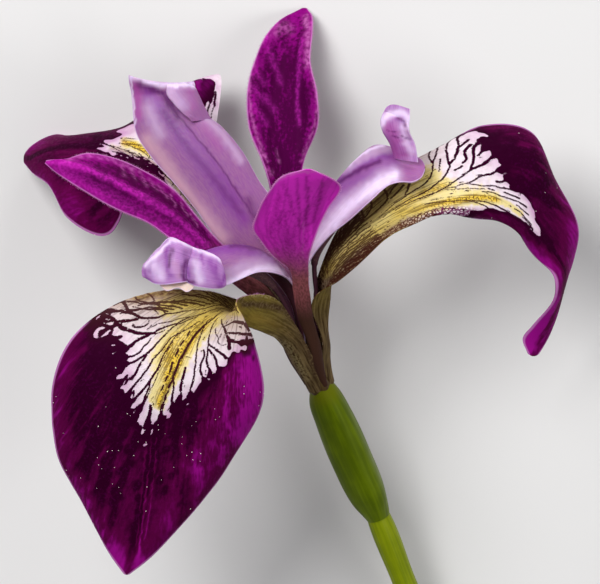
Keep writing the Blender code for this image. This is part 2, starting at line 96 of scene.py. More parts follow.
def placed(name, data):
    """A new object in the scene."""
    thing = bpy.data.objects.new(name, data)
    bpy.context.scene.collection.objects.link(thing)
    return thing


def run_along(points):
    """How far along a line each of its points is."""
    return np.concatenate([[0.0], np.cumsum(np.linalg.norm(np.diff(points, axis=0), axis=1))])


# %% [markdown]
# The flower lies down, so the camera looks down on it, from straight in front of its face. The photo's
# scale is 7 pixels to a millimetre at the tube, from about a metre away.

# %% Camera
CAMERA_AIM = (-0.714, 7.143, 0.0)
CAMERA_AWAY_MM = 1000.0
PIXELS_PER_MM = 7.0
PHOTO_WIDTH_PX, PHOTO_HEIGHT_PX = 600, 584
SENSOR_WIDTH_MM = 36.0

camera = placed("camera", bpy.data.cameras.new("camera"))
camera.data.sensor_width = SENSOR_WIDTH_MM
camera.data.lens = SENSOR_WIDTH_MM * CAMERA_AWAY_MM * PIXELS_PER_MM / PHOTO_WIDTH_PX
camera.data.clip_start, camera.data.clip_end = 0.1, 20.0
aim = Vector(CAMERA_AIM) + Vector((0, 0, CAMERA_AWAY_MM))
camera.matrix_world = laid @ Matrix.Translation(aim * MM)
bpy.context.scene.camera = camera
print("lens", round(camera.data.lens, 1), "mm")


def photo_place(points):
    """Where points of the flower's frame fall in the photograph, in pixels from its top left."""
    scale = PIXELS_PER_MM * CAMERA_AWAY_MM / (CAMERA_AWAY_MM - points[..., 2])
    x = PHOTO_WIDTH_PX / 2 + (points[..., 0] - CAMERA_AIM[0]) * scale
    y = PHOTO_HEIGHT_PX / 2 - (points[..., 1] - CAMERA_AIM[1]) * scale
    return np.stack([x, y], axis=-1)

# %% [markdown]
# A real petal is a sheet that curves along its midrib and across it. Cloth or sculpting could give
# such a form, but a few ribs say it best: each rib is a midrib point and two margin points, and a
# smooth curve runs through all of them. The last pair of a rib swells its halves towards the upper
# face. The ribs are the frame's own, so the fine petals keep the frame's forms.

# %% Ribs of the falls


def rib(midrib, low_margin, high_margin, swell=(0.0, 0.0)):
    """One rib across a petal, in mm, with its margins in order of rising azimuth."""
    return midrib, low_margin, high_margin, swell


FALL_AZIMUTH = {"front": 125, "right": -5, "back": 235}
FALL_RIBS = {}
FALL_RIBS["front"] = [
    rib((-3.2, 0.3, 4.6), (-1.4, 2.6, 6.6), (-5.5, 2.6, 5.0)),
    rib((-5.6, 1.6, 8.6), (-4.2, 6.2, 12.4), (-8.3, 5.5, 10.2)),
    rib((-8.2, 2.6, 12.2), (-7.1, 6.9, 15.6), (-11.2, 6.6, 12.6)),
    rib((-10.7, 4.0, 15.2), (-9.6, 6.1, 18.6), (-14.5, 7.3, 14.2)),
    rib((-13.0, 2.9, 17.9), (-8.6, 3.9, 20.0), (-20.0, 7.3, 14.5)),
    rib((-15.3, 0.3, 19.7), (-7.3, 0.6, 20.2), (-25.7, 6.0, 14.8), (0.5, 0.5)),
    rib((-17.4, -4.0, 20.4), (-6.0, -3.3, 19.2), (-31.9, 1.3, 15.2), (0.8, 0.9)),
    rib((-19.4, -8.8, 19.6), (-6.1, -8.2, 17.4), (-35.5, -6.0, 14.6), (0.9, 1.0)),
    rib((-21.1, -14.4, 17.8), (-8.3, -13.4, 15.4), (-35.4, -13.1, 13.4), (0.8, 1.0)),
    rib((-22.6, -20.7, 15.5), (-12.8, -19.7, 13.6), (-33.0, -19.7, 12.0), (0.7, 0.8)),
    rib((-23.9, -26.7, 13.2), (-17.9, -26.2, 12.4), (-29.5, -26.5, 11.0), (0.4, 0.5)),
    rib((-24.7, -30.7, 11.7), (-22.2, -30.7, 11.4), (-27.2, -30.5, 10.9)),
    rib((-25.2, -32.8, 10.9), (-24.8, -32.7, 10.9), (-25.6, -32.7, 10.9)),
]
FALL_RIBS["right"] = [
    rib((3.4, 6.0, 3.0), (1.3, 7.1, 1.6), (1.1, 5.7, 5.0)),
    rib((4.1, 10.9, 6.2), (2.9, 12.0, 4.6), (5.1, 9.1, 8.0)),
    rib((7.0, 14.0, 8.6), (4.7, 16.3, 6.4), (8.7, 12.1, 10.6)),
    rib((11.9, 17.4, 10.6), (9.0, 20.9, 7.4), (13.3, 15.6, 12.4)),
    rib((16.7, 19.7, 11.6), (13.9, 24.9, 7.2), (17.6, 17.6, 12.6), (0.5, 0.0)),
    rib((21.4, 20.9, 11.8), (19.0, 27.9, 5.8), (21.9, 18.0, 11.6), (0.8, 0.0)),
    rib((26.1, 20.7, 11.0), (25.7, 30.6, 4.4), (26.0, 17.6, 9.5), (1.0, 0.0)),
    rib((30.1, 18.9, 9.6), (32.1, 29.7, 3.2), (28.9, 16.3, 8.0), (1.0, 0.0)),
    rib((33.1, 15.7, 7.8), (35.7, 23.1, 2.4), (30.9, 14.4, 6.5), (0.7, 0.0)),
    rib((35.0, 12.8, 6.2), (38.7, 16.7, 2.4), (32.8, 12.2, 6.0), (0.3, 0.0)),
    rib((36.5, 10.0, 5.0), (38.3, 12.2, 1.4), (35.2, 9.6, 6.2)),
    rib((36.3, 6.9, 3.4), (36.7, 7.1, 0.4), (35.4, 6.3, 5.6)),
    rib((34.6, 2.7, 2.4), (35.6, 2.9, 0.0), (32.3, 2.3, 3.5)),
    rib((33.1, -0.1, 1.8), (34.7, 0.6, 0.8), (31.0, 0.4, 2.4)),
    rib((32.6, -2.0, 1.5), (33.4, -1.7, 1.3), (31.8, -1.7, 1.8)),
]
FALL_RIBS["back"] = [
    rib((-4.3, 7.3, 0.8), (-5.9, 7.6, 2.3), (-3.0, 9.4, 0.6)),
    rib((-7.9, 13.2, 1.7), (-10.2, 13.0, 3.6), (-6.3, 15.8, 1.4)),
    rib((-12.1, 18.9, 1.2), (-14.3, 17.1, 3.0), (-9.8, 22.0, 0.5)),
    rib((-16.5, 23.5, -0.5), (-19.0, 20.9, 1.8), (-13.3, 27.4, -2.5)),
    rib((-20.2, 27.2, -2.4), (-24.3, 21.0, 1.5), (-12.6, 32.0, -5.5), (0.5, 0.5)),
    rib((-23.9, 27.9, -5.0), (-26.4, 17.1, 0.5), (-12.4, 38.6, -8.5), (0.8, 0.8)),
    rib((-28.8, 28.0, -7.8), (-30.4, 15.4, -1.5), (-25.0, 30.4, -16.0), (0.9, 0.1)),
    rib((-33.7, 28.1, -10.5), (-34.3, 18.0, -4.0), (-31.4, 29.2, -17.5), (0.6, 0.1)),
    rib((-37.6, 27.4, -13.0), (-36.8, 22.4, -7.5), (-36.2, 30.1, -18.5)),
    rib((-40.0, 26.4, -15.2), (-39.4, 24.4, -13.0), (-39.8, 28.3, -17.4)),
    rib((-40.8, 26.6, -16.8), (-40.7, 25.8, -16.0), (-40.6, 27.4, -17.4)),
]
print("ribs in the falls:", {side: len(ribs) for side, ribs in FALL_RIBS.items()})

# %% Ribs of the standards
STANDARD_AZIMUTH = {"front": 62, "left": 180, "back": 300}
STANDARD_RIBS = {}
STANDARD_RIBS["back"] = [
    rib((-0.7, 7.4, 0.5), (-1.9, 7.2, 0.7), (0.5, 7.6, 0.0)),
    rib((-1.7, 14.6, 0.5), (-3.6, 14.5, 1.0), (-0.1, 14.7, -0.3)),
    rib((-2.4, 21.0, -0.5), (-4.9, 21.4, 0.6), (-0.6, 22.9, -1.5)),
    rib((-3.0, 26.0, -2.0), (-6.4, 26.0, -0.2), (0.1, 26.7, -2.5), (0.3, 0.3)),
    rib((-3.1, 31.0, -4.0), (-7.9, 31.0, -1.8), (1.9, 31.4, -3.0), (0.5, 0.5)),
    rib((-3.0, 35.7, -6.0), (-8.3, 36.0, -4.2), (1.9, 35.3, -3.6), (0.6, 0.6)),
    rib((-2.6, 40.6, -8.2), (-7.1, 40.6, -7.0), (0.7, 40.3, -6.2), (0.5, 0.5)),
    rib((-1.9, 44.7, -10.4), (-4.9, 45.0, -9.8), (1.1, 45.0, -9.2), (0.3, 0.3)),
    rib((-0.9, 47.1, -11.8), (-2.9, 46.9, -11.6), (1.0, 47.1, -11.2)),
    rib((-0.1, 48.2, -12.6), (-0.5, 48.1, -12.6), (0.3, 48.1, -12.6)),
]
STANDARD_RIBS["front"] = [
    rib((0.15, 3.4, 6.1), (1.2, 3.4, 6.1), (-0.9, 3.5, 5.8)),
    rib((-0.55, 7.4, 11.0), (0.6, 7.4, 11.0), (-1.7, 7.7, 10.7)),
    rib((-1.1, 10.7, 15.5), (0.4, 11.0, 15.6), (-2.9, 10.9, 15.2)),
    rib((-2.0, 13.6, 19.6), (0.9, 13.5, 19.5), (-5.8, 13.9, 20.0)),
    rib((-2.2, 16.0, 23.0), (1.9, 16.1, 22.5), (-7.2, 15.8, 23.5), (0.3, 0.4)),
    rib((-1.4, 18.6, 26.0), (3.3, 18.8, 25.0), (-6.5, 18.3, 26.0), (0.4, 0.5)),
    rib((-0.6, 20.9, 28.6), (4.9, 21.6, 27.5), (-5.0, 20.9, 28.6), (0.3, 0.4)),
    rib((-0.1, 22.8, 30.6), (3.6, 22.9, 30.2), (-3.3, 23.1, 30.8)),
    rib((0.4, 24.1, 32.0), (0.9, 24.1, 32.0), (-0.1, 24.1, 32.0)),
]
STANDARD_RIBS["left"] = [
    rib((-4.2, 4.6, 3.2), (-4.6, 3.6, 4.3), (-3.6, 5.4, 2.5)),
    rib((-8.4, 8.9, 5.5), (-9.2, 7.6, 6.4), (-7.4, 10.2, 4.6)),
    rib((-13.9, 13.1, 8.0), (-15.0, 12.6, 9.0), (-12.6, 14.6, 6.6)),
    rib((-17.0, 16.7, 9.4), (-18.4, 14.4, 10.4), (-15.1, 18.0, 7.4), (-0.4, -0.4)),
    rib((-20.4, 19.1, 10.6), (-21.9, 16.6, 10.8), (-17.9, 20.9, 7.8), (-0.6, -0.6)),
    rib((-24.3, 21.1, 11.6), (-25.6, 18.4, 11.0), (-21.9, 23.7, 8.2), (-0.7, -0.7)),
    rib((-28.1, 23.0, 12.3), (-29.3, 20.3, 11.4), (-26.4, 26.0, 9.0), (-0.6, -0.6)),
    rib((-31.2, 24.4, 12.7), (-32.5, 22.2, 11.8), (-30.7, 26.7, 10.4), (-0.4, -0.4)),
    rib((-34.0, 25.2, 12.9), (-35.0, 23.9, 12.4), (-33.7, 25.9, 12.0)),
    rib((-36.6, 25.5, 12.8), (-36.7, 25.3, 12.8), (-36.5, 25.7, 12.8)),
]
print("ribs in the standards:", {side: len(ribs) for side, ribs in STANDARD_RIBS.items()})

# %% Ribs of the style arms and their crests
ARM_RIBS = {}
ARM_RIBS["front"] = [
    rib((-1.7, 6.7, 4.5), (-0.9, 6.6, 5.6), (-2.6, 6.6, 3.6)),
    rib((-4.3, 11.4, 8.0), (-2.9, 9.3, 9.8), (-6.2, 10.4, 6.2)),
    rib((-7.9, 13.4, 11.5), (-6.6, 9.9, 14.2), (-11.2, 11.9, 9.2)),
    rib((-11.4, 13.1, 15.0), (-9.6, 8.7, 17.2), (-14.8, 11.6, 12.4)),
    rib((-14.3, 12.0, 17.4), (-11.6, 8.0, 18.9), (-17.0, 10.6, 15.4)),
    rib((-16.9, 10.8, 19.5), (-16.0, 8.9, 19.9), (-17.6, 10.4, 19.0)),
]
ARM_RIBS["right"] = [
    rib((0.4, 6.0, 2.6), (0.0, 6.4, 1.4), (0.6, 5.4, 3.4)),
    rib((0.1, 13.9, 6.2), (-0.5, 15.0, 4.8), (0.6, 11.4, 8.0)),
    rib((2.4, 17.7, 8.6), (1.6, 19.6, 6.4), (3.3, 14.9, 10.5)),
    rib((5.3, 21.4, 10.3), (4.3, 22.6, 7.8), (6.4, 17.4, 12.3)),
    rib((8.0, 24.6, 11.4), (7.0, 25.6, 8.6), (9.4, 20.1, 13.4)),
    rib((10.7, 26.0, 12.0), (10.0, 27.9, 9.0), (11.9, 22.2, 13.8)),
    rib((13.0, 25.4, 12.4), (12.3, 27.6, 10.0), (13.6, 22.6, 14.2)),
    rib((15.0, 25.0, 12.7), (14.8, 26.6, 11.0), (15.3, 22.6, 14.6)),
    rib((16.4, 24.8, 12.9), (16.4, 25.8, 11.8), (16.5, 23.4, 14.0)),
    rib((16.9, 24.7, 13.0), (16.9, 25.0, 12.7), (16.9, 24.4, 13.3)),
]
ARM_RIBS["back"] = [
    rib((-1.9, 6.0, 2.2), (-2.9, 5.6, 2.6), (-1.1, 6.6, 1.4)),
    rib((-4.7, 12.4, 4.6), (-7.4, 11.4, 5.2), (-3.1, 14.1, 3.6)),
    rib((-7.3, 17.1, 5.6), (-11.9, 14.0, 5.6), (-4.6, 19.9, 4.0)),
    rib((-10.3, 22.1, 6.0), (-15.7, 19.1, 5.0), (-6.7, 23.1, 4.0)),
    rib((-13.1, 26.3, 5.8), (-19.0, 23.1, 4.4), (-9.1, 27.3, 3.4)),
    rib((-15.7, 29.6, 5.2), (-21.9, 26.4, 3.4), (-11.9, 30.6, 2.6)),
    rib((-17.9, 32.1, 4.4), (-24.1, 30.0, 2.6), (-14.4, 32.7, 2.4)),
    rib((-19.3, 34.3, 3.6), (-24.6, 34.3, 2.4), (-15.4, 35.1, 2.0)),
    rib((-20.3, 36.6, 2.6), (-25.0, 38.1, 2.6), (-16.1, 36.9, 1.6)),
]
CREST_RIBS = {}
CREST_RIBS["front"] = [
    rib((-22.8, 10.1, 19.5), (-22.6, 9.2, 19.5), (-22.4, 11.2, 19.5)),
    rib((-21.1, 10.8, 20.6), (-21.0, 8.3, 20.4), (-20.5, 13.3, 20.2)),
    rib((-19.3, 11.4, 20.2), (-19.4, 8.2, 20.2), (-18.9, 14.8, 19.4)),
    rib((-17.8, 11.3, 20.4), (-17.9, 8.4, 20.4), (-17.1, 14.1, 19.6)),
    rib((-16.6, 10.9, 19.2), (-16.6, 8.5, 19.4), (-15.6, 13.4, 18.8)),
    rib((-14.8, 10.6, 21.4), (-15.0, 7.9, 21.2), (-14.1, 12.9, 20.6)),
    rib((-13.0, 10.1, 22.0), (-13.0, 7.6, 21.6), (-12.7, 12.3, 21.2)),
    rib((-11.6, 9.5, 21.4), (-11.5, 7.7, 21.2), (-11.8, 11.5, 21.0)),
    rib((-11.1, 9.0, 21.0), (-11.1, 8.0, 21.0), (-11.4, 10.4, 21.0)),
]
CREST_RIBS["right"] = [
    rib((12.8, 26.0, 12.6), (15.9, 25.4, 14.1), (15.4, 26.1, 10.8)),
    rib((12.0, 28.2, 12.6), (15.5, 28.0, 14.4), (15.0, 28.8, 10.9)),
    rib((11.0, 30.0, 12.6), (14.7, 29.9, 14.5), (14.7, 30.4, 10.9)),
    rib((10.8, 31.3, 12.5), (14.5, 31.4, 14.3), (14.8, 31.9, 10.7)),
    rib((11.2, 32.3, 12.3), (14.2, 32.0, 13.9), (14.8, 33.0, 10.6)),
]
CREST_RIBS["back"] = [
    rib((-14.6, 31.5, 4.3), (-13.3, 31.6, 2.8), (-16.1, 31.4, 5.6)),
    rib((-16.0, 33.9, 4.6), (-14.7, 34.0, 2.8), (-18.4, 33.6, 6.0)),
    rib((-17.4, 35.7, 4.4), (-15.7, 36.2, 2.4), (-19.7, 35.4, 5.4)),
    rib((-17.8, 36.8, 3.6), (-16.2, 37.0, 2.2), (-19.6, 36.6, 4.4)),
]
print("ribs in the arms:", {side: len(ribs) for side, ribs in ARM_RIBS.items()})

# %% [markdown]
# On a real flower the tube is the petals themselves, grown together at their feet. So each fall and
# standard gets a few more ribs that run down the outside of the tube and sink into it at the ovary.

# %% Feet on the tube
TUBE_LINE = [(0.0, 0.0, 0.0), (0.7, -2.4, -1.7), (1.5, -4.6, -3.2), (2.2, -6.3, -4.2), (2.6, -7.3, -4.8)]
SEAT_DEPTH = 0.9
tube_downs = run_along(np.array(TUBE_LINE))


def down_tube(azimuth, radius, down):
    """A point on the outside of the tube, that many mm below its top."""
    centre = [np.interp(down, tube_downs, [point[axis] for point in TUBE_LINE]) for axis in range(3)]
    return tuple(np.array(centre) + np.array(ring_point(azimuth, radius, 0.0)))


def foot_ribs(azimuth, steps):
    """Ribs up the tube for one petal; steps are (mm below the top, radius, half angle, margin's radius)."""
    return [
        rib(
            down_tube(azimuth, radius, down),
            down_tube(azimuth - half_angle, margin_radius, down),
            down_tube(azimuth + half_angle, margin_radius, down),
        )
        for down, radius, half_angle, margin_radius in steps
    ]


def seat_rib(azimuth, radius, half_angle):
    """The rib where a style arm grows out of the middle of the tube."""
    return rib(
        ring_point(azimuth, radius, -SEAT_DEPTH),
        ring_point(azimuth - half_angle, radius, -SEAT_DEPTH),
        ring_point(azimuth + half_angle, radius, -SEAT_DEPTH),
    )


def first_rib_at(ribs, feet, azimuth, radius):
    """How far above the tube's rim the petal's first free rib is, in mm along the midrib."""
    rim = np.array(ring_point(azimuth, radius, 0.4))
    return float(np.linalg.norm(np.array(ribs[feet][0]) - rim))


# %% [markdown]
# A curve with slopes read from its neighbours runs through the ribs, and a parabola runs across each
# one.

# %% Petal surface


def rib_knots(ribs):
    """Each rib's place along the petal: the mean of the three lines' lengths up to it."""
    lines = np.array([r[:3] for r in ribs])
    steps = np.linalg.norm(np.diff(lines, axis=0), axis=2).mean(axis=1)
    return np.concatenate([[0.0], np.cumsum(steps)])


def through_knots(knots, values, at):
    """A smooth curve through the values at the knots, read at each place in at."""
    slopes = np.gradient(values, knots, axis=0)
    index = np.clip(np.searchsorted(knots, at, side="right") - 1, 0, len(knots) - 2)
    gap = (knots[index + 1] - knots[index]).reshape(-1, 1)
    t = ((at - knots[index]) / gap.ravel()).reshape(-1, 1)
    start, end = values[index], values[index + 1]
    return (
        (2 * t**3 - 3 * t**2 + 1) * start
        + (t**3 - 2 * t**2 + t) * gap * slopes[index]
        + (3 * t**2 - 2 * t**3) * end
        + (t**3 - t**2) * gap * slopes[index + 1]
    )


def surface_normals(grid):
    """Unit vectors out of the upper face at each point of a grid."""
    along = np.gradient(grid, axis=0)
    across = np.gradient(grid, axis=1)
    up = np.cross(across, along)
    return up / np.maximum(np.linalg.norm(up, axis=2, keepdims=True), 1e-9)


def margin_wave(along, v, ruffle):
    """How far a ruffled margin stands out of the sheet, fading at the midrib and at both ends."""
    height, count = ruffle
    phase = np.where(v < 0, 0.9, 2.6)
    wave = np.sin(2 * math.pi * count * along + phase) * np.sin(math.pi * along) ** 2
    return height * np.abs(v) ** 4 * wave


def petal_surface(ribs, rows, columns, ruffle=(0.0, 0), dense=None):
    """A petal's middle surface: its points, and each point's place along and across, 0 to 1 and -1 to 1.

    dense is (from, to, times): rows lie that many times closer between those shares of the length."""
    lines = np.array([r[:3] for r in ribs])
    swell = np.array([r[3] for r in ribs])
    knots = rib_knots(ribs)
    share = np.linspace(0.0, 1.0, rows)
    if dense:
        fine = np.linspace(0.0, 1.0, 2001)
        weight = np.where((fine > dense[0]) & (fine < dense[1]), dense[2], 1.0)
        filled = np.concatenate([[0.0], np.cumsum((weight[1:] + weight[:-1]) / 2)])
        share = np.interp(share, filled / filled[-1], fine)
    values = through_knots(knots, np.hstack([lines.reshape(len(ribs), 9), swell]), share * knots[-1])
    middle, low, high = (values[:, None, i : i + 3] for i in (0, 3, 6))
    v = np.linspace(-1.0, 1.0, columns)[None, :, None]
    grid = middle + (high - low) / 2 * v + ((high + low) / 2 - middle) * v**2
    up = surface_normals(grid)
    side = np.where(v < 0, values[:, None, 9:10], values[:, None, 10:11])
    grid = grid + up * side * 4 * (v**2 - v**4)
    grid = grid + up * margin_wave(share[:, None, None], v, ruffle)
    return grid, share[:, None] * np.ones(columns)[None, :], np.ones(rows)[:, None] * v[:, :, 0]


# %% [markdown]
# Along and across are also measured in millimetres on the sheet itself, because veins and patterns
# grow on the sheet and not in space.

# %% Places on a petal's sheet


def sheet_places(grid, rim_share=None, rim_along=0.0):
    """For each point: mm along the midrib, mm across from it with its sign, and the half width.

    rim_share is (a share of the length, every row's share): the row at that share reads rim_along,
    so that a foot on the tube reads below 0."""
    middle = grid.shape[1] // 2
    steps = np.linalg.norm(np.diff(grid, axis=1), axis=2)
    across = np.zeros(grid.shape[:2])
    across[:, middle + 1 :] = np.cumsum(steps[:, middle:], axis=1)
    across[:, :middle] = -np.cumsum(steps[:, :middle][:, ::-1], axis=1)[:, ::-1]
    along = run_along(grid[:, middle])
    along = along - np.interp(rim_share[0], rim_share[1], along) + rim_along if rim_share else along
    along = along[:, None] * np.ones(grid.shape[1])
    half = np.where(across < 0, -across[:, :1], across[:, -1:])
    return along, across, half


def petal_sheet(azimuth, foot, free_ribs, seat_radius, *shape):
    """A petal with its foot on the tube: its points, its shares and its places in mm.

    Along reads 0 at the tube's rim. shape goes on to petal_surface."""
    ribs = foot_ribs(azimuth, foot) + free_ribs
    grid, share, v = petal_surface(ribs, *shape)
    knots, first = rib_knots(ribs), first_rib_at(ribs, len(foot), azimuth, seat_radius)
    along, across, half = sheet_places(grid, (knots[len(foot)] / knots[-1], share[:, 0]), first)
    return grid, share, v, along, across, half


def smooth(low, high, x):
    """0 below low, 1 above high and a smooth step between."""
    t = np.clip((np.asarray(x, float) - low) / (high - low), 0.0, 1.0)
    return t * t * (3 - 2 * t)


# %% [markdown]
# Each petal becomes a closed sheet: an upper face, a lower face with half as many rows and columns,
# and a rim that joins them. It is thickest at the midrib and thins to its margins, as a petal does.

# %% Closed sheets
UNDER_STEP = 2
SHARP_DEG = 50


def thin_to_margins(v, share, thick, thin):
    """The sheet's thickness in mm at each point."""
    ends = np.minimum(1.0, (1 - share) / 0.06)
    return thin + (thick - thin) * (1 - np.abs(v) ** 3) * ends


def quad_faces(rows, columns, start, flip):
    """The faces between the points of a grid; flip turns them to the other side."""
    i, j = np.meshgrid(np.arange(rows - 1), np.arange(columns - 1), indexing="ij")
    a = (start + i * columns + j).ravel()
    corners = [a, a + 1, a + columns + 1, a + columns]
    return np.stack(corners[::-1] if flip else corners, axis=1).tolist()


def border(rows, columns, start):
    """The points round a grid, in order."""
    grid = start + np.arange(rows * columns).reshape(rows, columns)
    return np.concatenate([grid[0], grid[1:, -1], grid[-1, -2::-1], grid[-2:0:-1, 0]])


def closed_sheet(grid, thickness, layers):
    """A closed sheet's points and faces, and its attributes: the layers, and which points are under."""
    rows, columns = grid.shape[:2]
    up = surface_normals(grid) * thickness[:, :, None] / 2
    row_pick, column_pick = np.arange(0, rows, UNDER_STEP), np.arange(0, columns, UNDER_STEP)
    top = (grid + up).reshape(-1, 3)
    low = (grid - up)[np.ix_(row_pick, column_pick)].reshape(-1, 3)
    faces = quad_faces(rows, columns, 0, False)
    faces += quad_faces(len(row_pick), len(column_pick), len(top), True)
    edge, low_edge = border(rows, columns, 0), border(len(row_pick), len(column_pick), len(top))
    for k, near in enumerate(low_edge):
        upper = [edge[(k * UNDER_STEP + m) % len(edge)] for m in range(UNDER_STEP, -1, -1)]
        faces.append([int(x) for x in (*upper, near, low_edge[(k + 1) % len(low_edge)])])
    index = np.concatenate([np.arange(len(top)), (row_pick[:, None] * columns + column_pick).ravel()])
    attributes = {key: values.ravel()[index] for key, values in layers.items()}
    attributes["under"] = np.concatenate([np.zeros(len(top)), np.ones(len(low))])
    return np.concatenate([top, low]), faces, attributes


def piece_mesh(name, points, faces, attributes):
    """A mesh in the laid frame, in metres, with its float attributes."""
    mesh = bpy.data.meshes.new(name)
    mesh.from_pydata(to_world(points).tolist(), [], faces)
    for key, values in attributes.items():
        layer = mesh.attributes.new(key, "FLOAT", "POINT")
        layer.data.foreach_set("value", np.asarray(values, np.float32))
    mesh.shade_smooth()
    mesh.set_sharp_from_angle(angle=math.radians(SHARP_DEG))
    return mesh


MARGINS = []


def keep_margins(grid, first_row, last_row):
    """Remember both margins of a sheet, and the line just inside each, for the fringe of hairs."""
    rows = slice(first_row, last_row)
    MARGINS.append((grid[rows, -1], grid[rows, -3]))
    MARGINS.append((grid[rows, 0], grid[rows, 2]))


def finish_piece(name, mesh, material, slot, *nodes):
    """The piece takes its material, rides with the flower and stands for its nodes, if any; slot is not used.
    """
    piece = placed(name, mesh)
    mesh.materials.append(material)
    if nodes:
        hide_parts(*nodes)
    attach(piece, "root")
    mesh.calc_loop_triangles()
    print(name, len(mesh.loop_triangles), "triangles")
    return piece

# %% [markdown]
# The markings of a fall are its veins. Real veins leave the claw side by side, fan out over the blade,
# fork again and again and end at the margin. An image could carry them, but here they are grown by
# rule on the flat sheet, one smooth curve for each, and every point of the petal then stores its
# distance to the nearest one. A material can cut that distance at any width.

# %% Growing veins
VEIN_STEP = 0.09
WHOLE = 6.283185307


def lattice_noise(x, y, seed):
    """Smooth noise from -1 to 1, with one value at each whole number of x and y."""
    column, row = np.floor(x), np.floor(y)
    tx, ty = x - column, y - row
    tx, ty = tx * tx * (3 - 2 * tx), ty * ty * (3 - 2 * ty)

    def corner(i, j):
        mixed = np.sin((column + i) * 127.1 + (row + j) * 311.7 + seed * 74.7) * 43758.5453
        return (mixed - np.floor(mixed)) * 2 - 1

    near = corner(0, 0) * (1 - tx) + corner(1, 0) * tx
    far = corner(0, 1) * (1 - tx) + corner(1, 1) * tx
    return near * (1 - ty) + far * ty


def bend_path(start, turn, finish):
    """A curve in the sheet from start to finish that leaves start towards turn."""
    start, turn, finish = (np.array(p, float) for p in (start, turn, finish))
    length = np.linalg.norm(turn - start) + np.linalg.norm(finish - turn)
    t = np.linspace(0, 1, max(3, int(length / VEIN_STEP)))[:, None]
    return (1 - t) ** 2 * start + 2 * t * (1 - t) * turn + t**2 * finish


def wavering(path, rng, size, hold=1.5):
    """The path with an unsteady hand: it strays by about size mm, less in its first hold mm."""
    run = run_along(path)
    way = np.gradient(path, axis=0)
    side = np.column_stack([-way[:, 1], way[:, 0]])
    side /= np.maximum(np.linalg.norm(side, axis=1, keepdims=True), 1e-9)
    stray = np.zeros(len(path))
    for wave_mm, share in ((4.3, 0.6), (2.1, 0.4), (1.1, 0.25)):
        stray += share * np.sin(WHOLE * run / wave_mm + rng.uniform(0, WHOLE))
    return path + side * (stray * size * smooth(0, hold, run))[:, None]


def with_width(path, start, finish):
    """The path's points with a half width beside each, from start mm to finish mm."""
    return np.column_stack([path, np.linspace(start, finish, len(path))])


def side_spurs(path, rng, every, reach, width, angle=(28, 55)):
    """Short side branches off a path, bent forwards like thorns, to alternate sides by chance."""
    spurs = []
    run = len(path) * VEIN_STEP
    for _ in range(int(run / every)):
        at = rng.integers(2, len(path) - 2)
        way = path[at + 1, :2] - path[at - 1, :2]
        way = way / max(np.linalg.norm(way), 1e-9)
        turn = math.radians(rng.uniform(*angle)) * rng.choice([-1, 1])
        out = np.array([
            way[0] * math.cos(turn) - way[1] * math.sin(turn),
            way[0] * math.sin(turn) + way[1] * math.cos(turn),
        ])
        length = rng.uniform(*reach)
        first = path[at, :2]
        middle = first + out * length * 0.6
        last = middle + (out * 0.4 + way * 0.7) * length * 0.5
        spurs.append(with_width(bend_path(first, middle, last), width, width * 0.35))
    return spurs


# %% [markdown]
# Each fall has its own list of margin places, in mm along the petal, where its main veins end. They
# and the line where the white gives way to purple are read off the flower; the forks, side branches
# and dashes between them are drawn by a seeded rule.

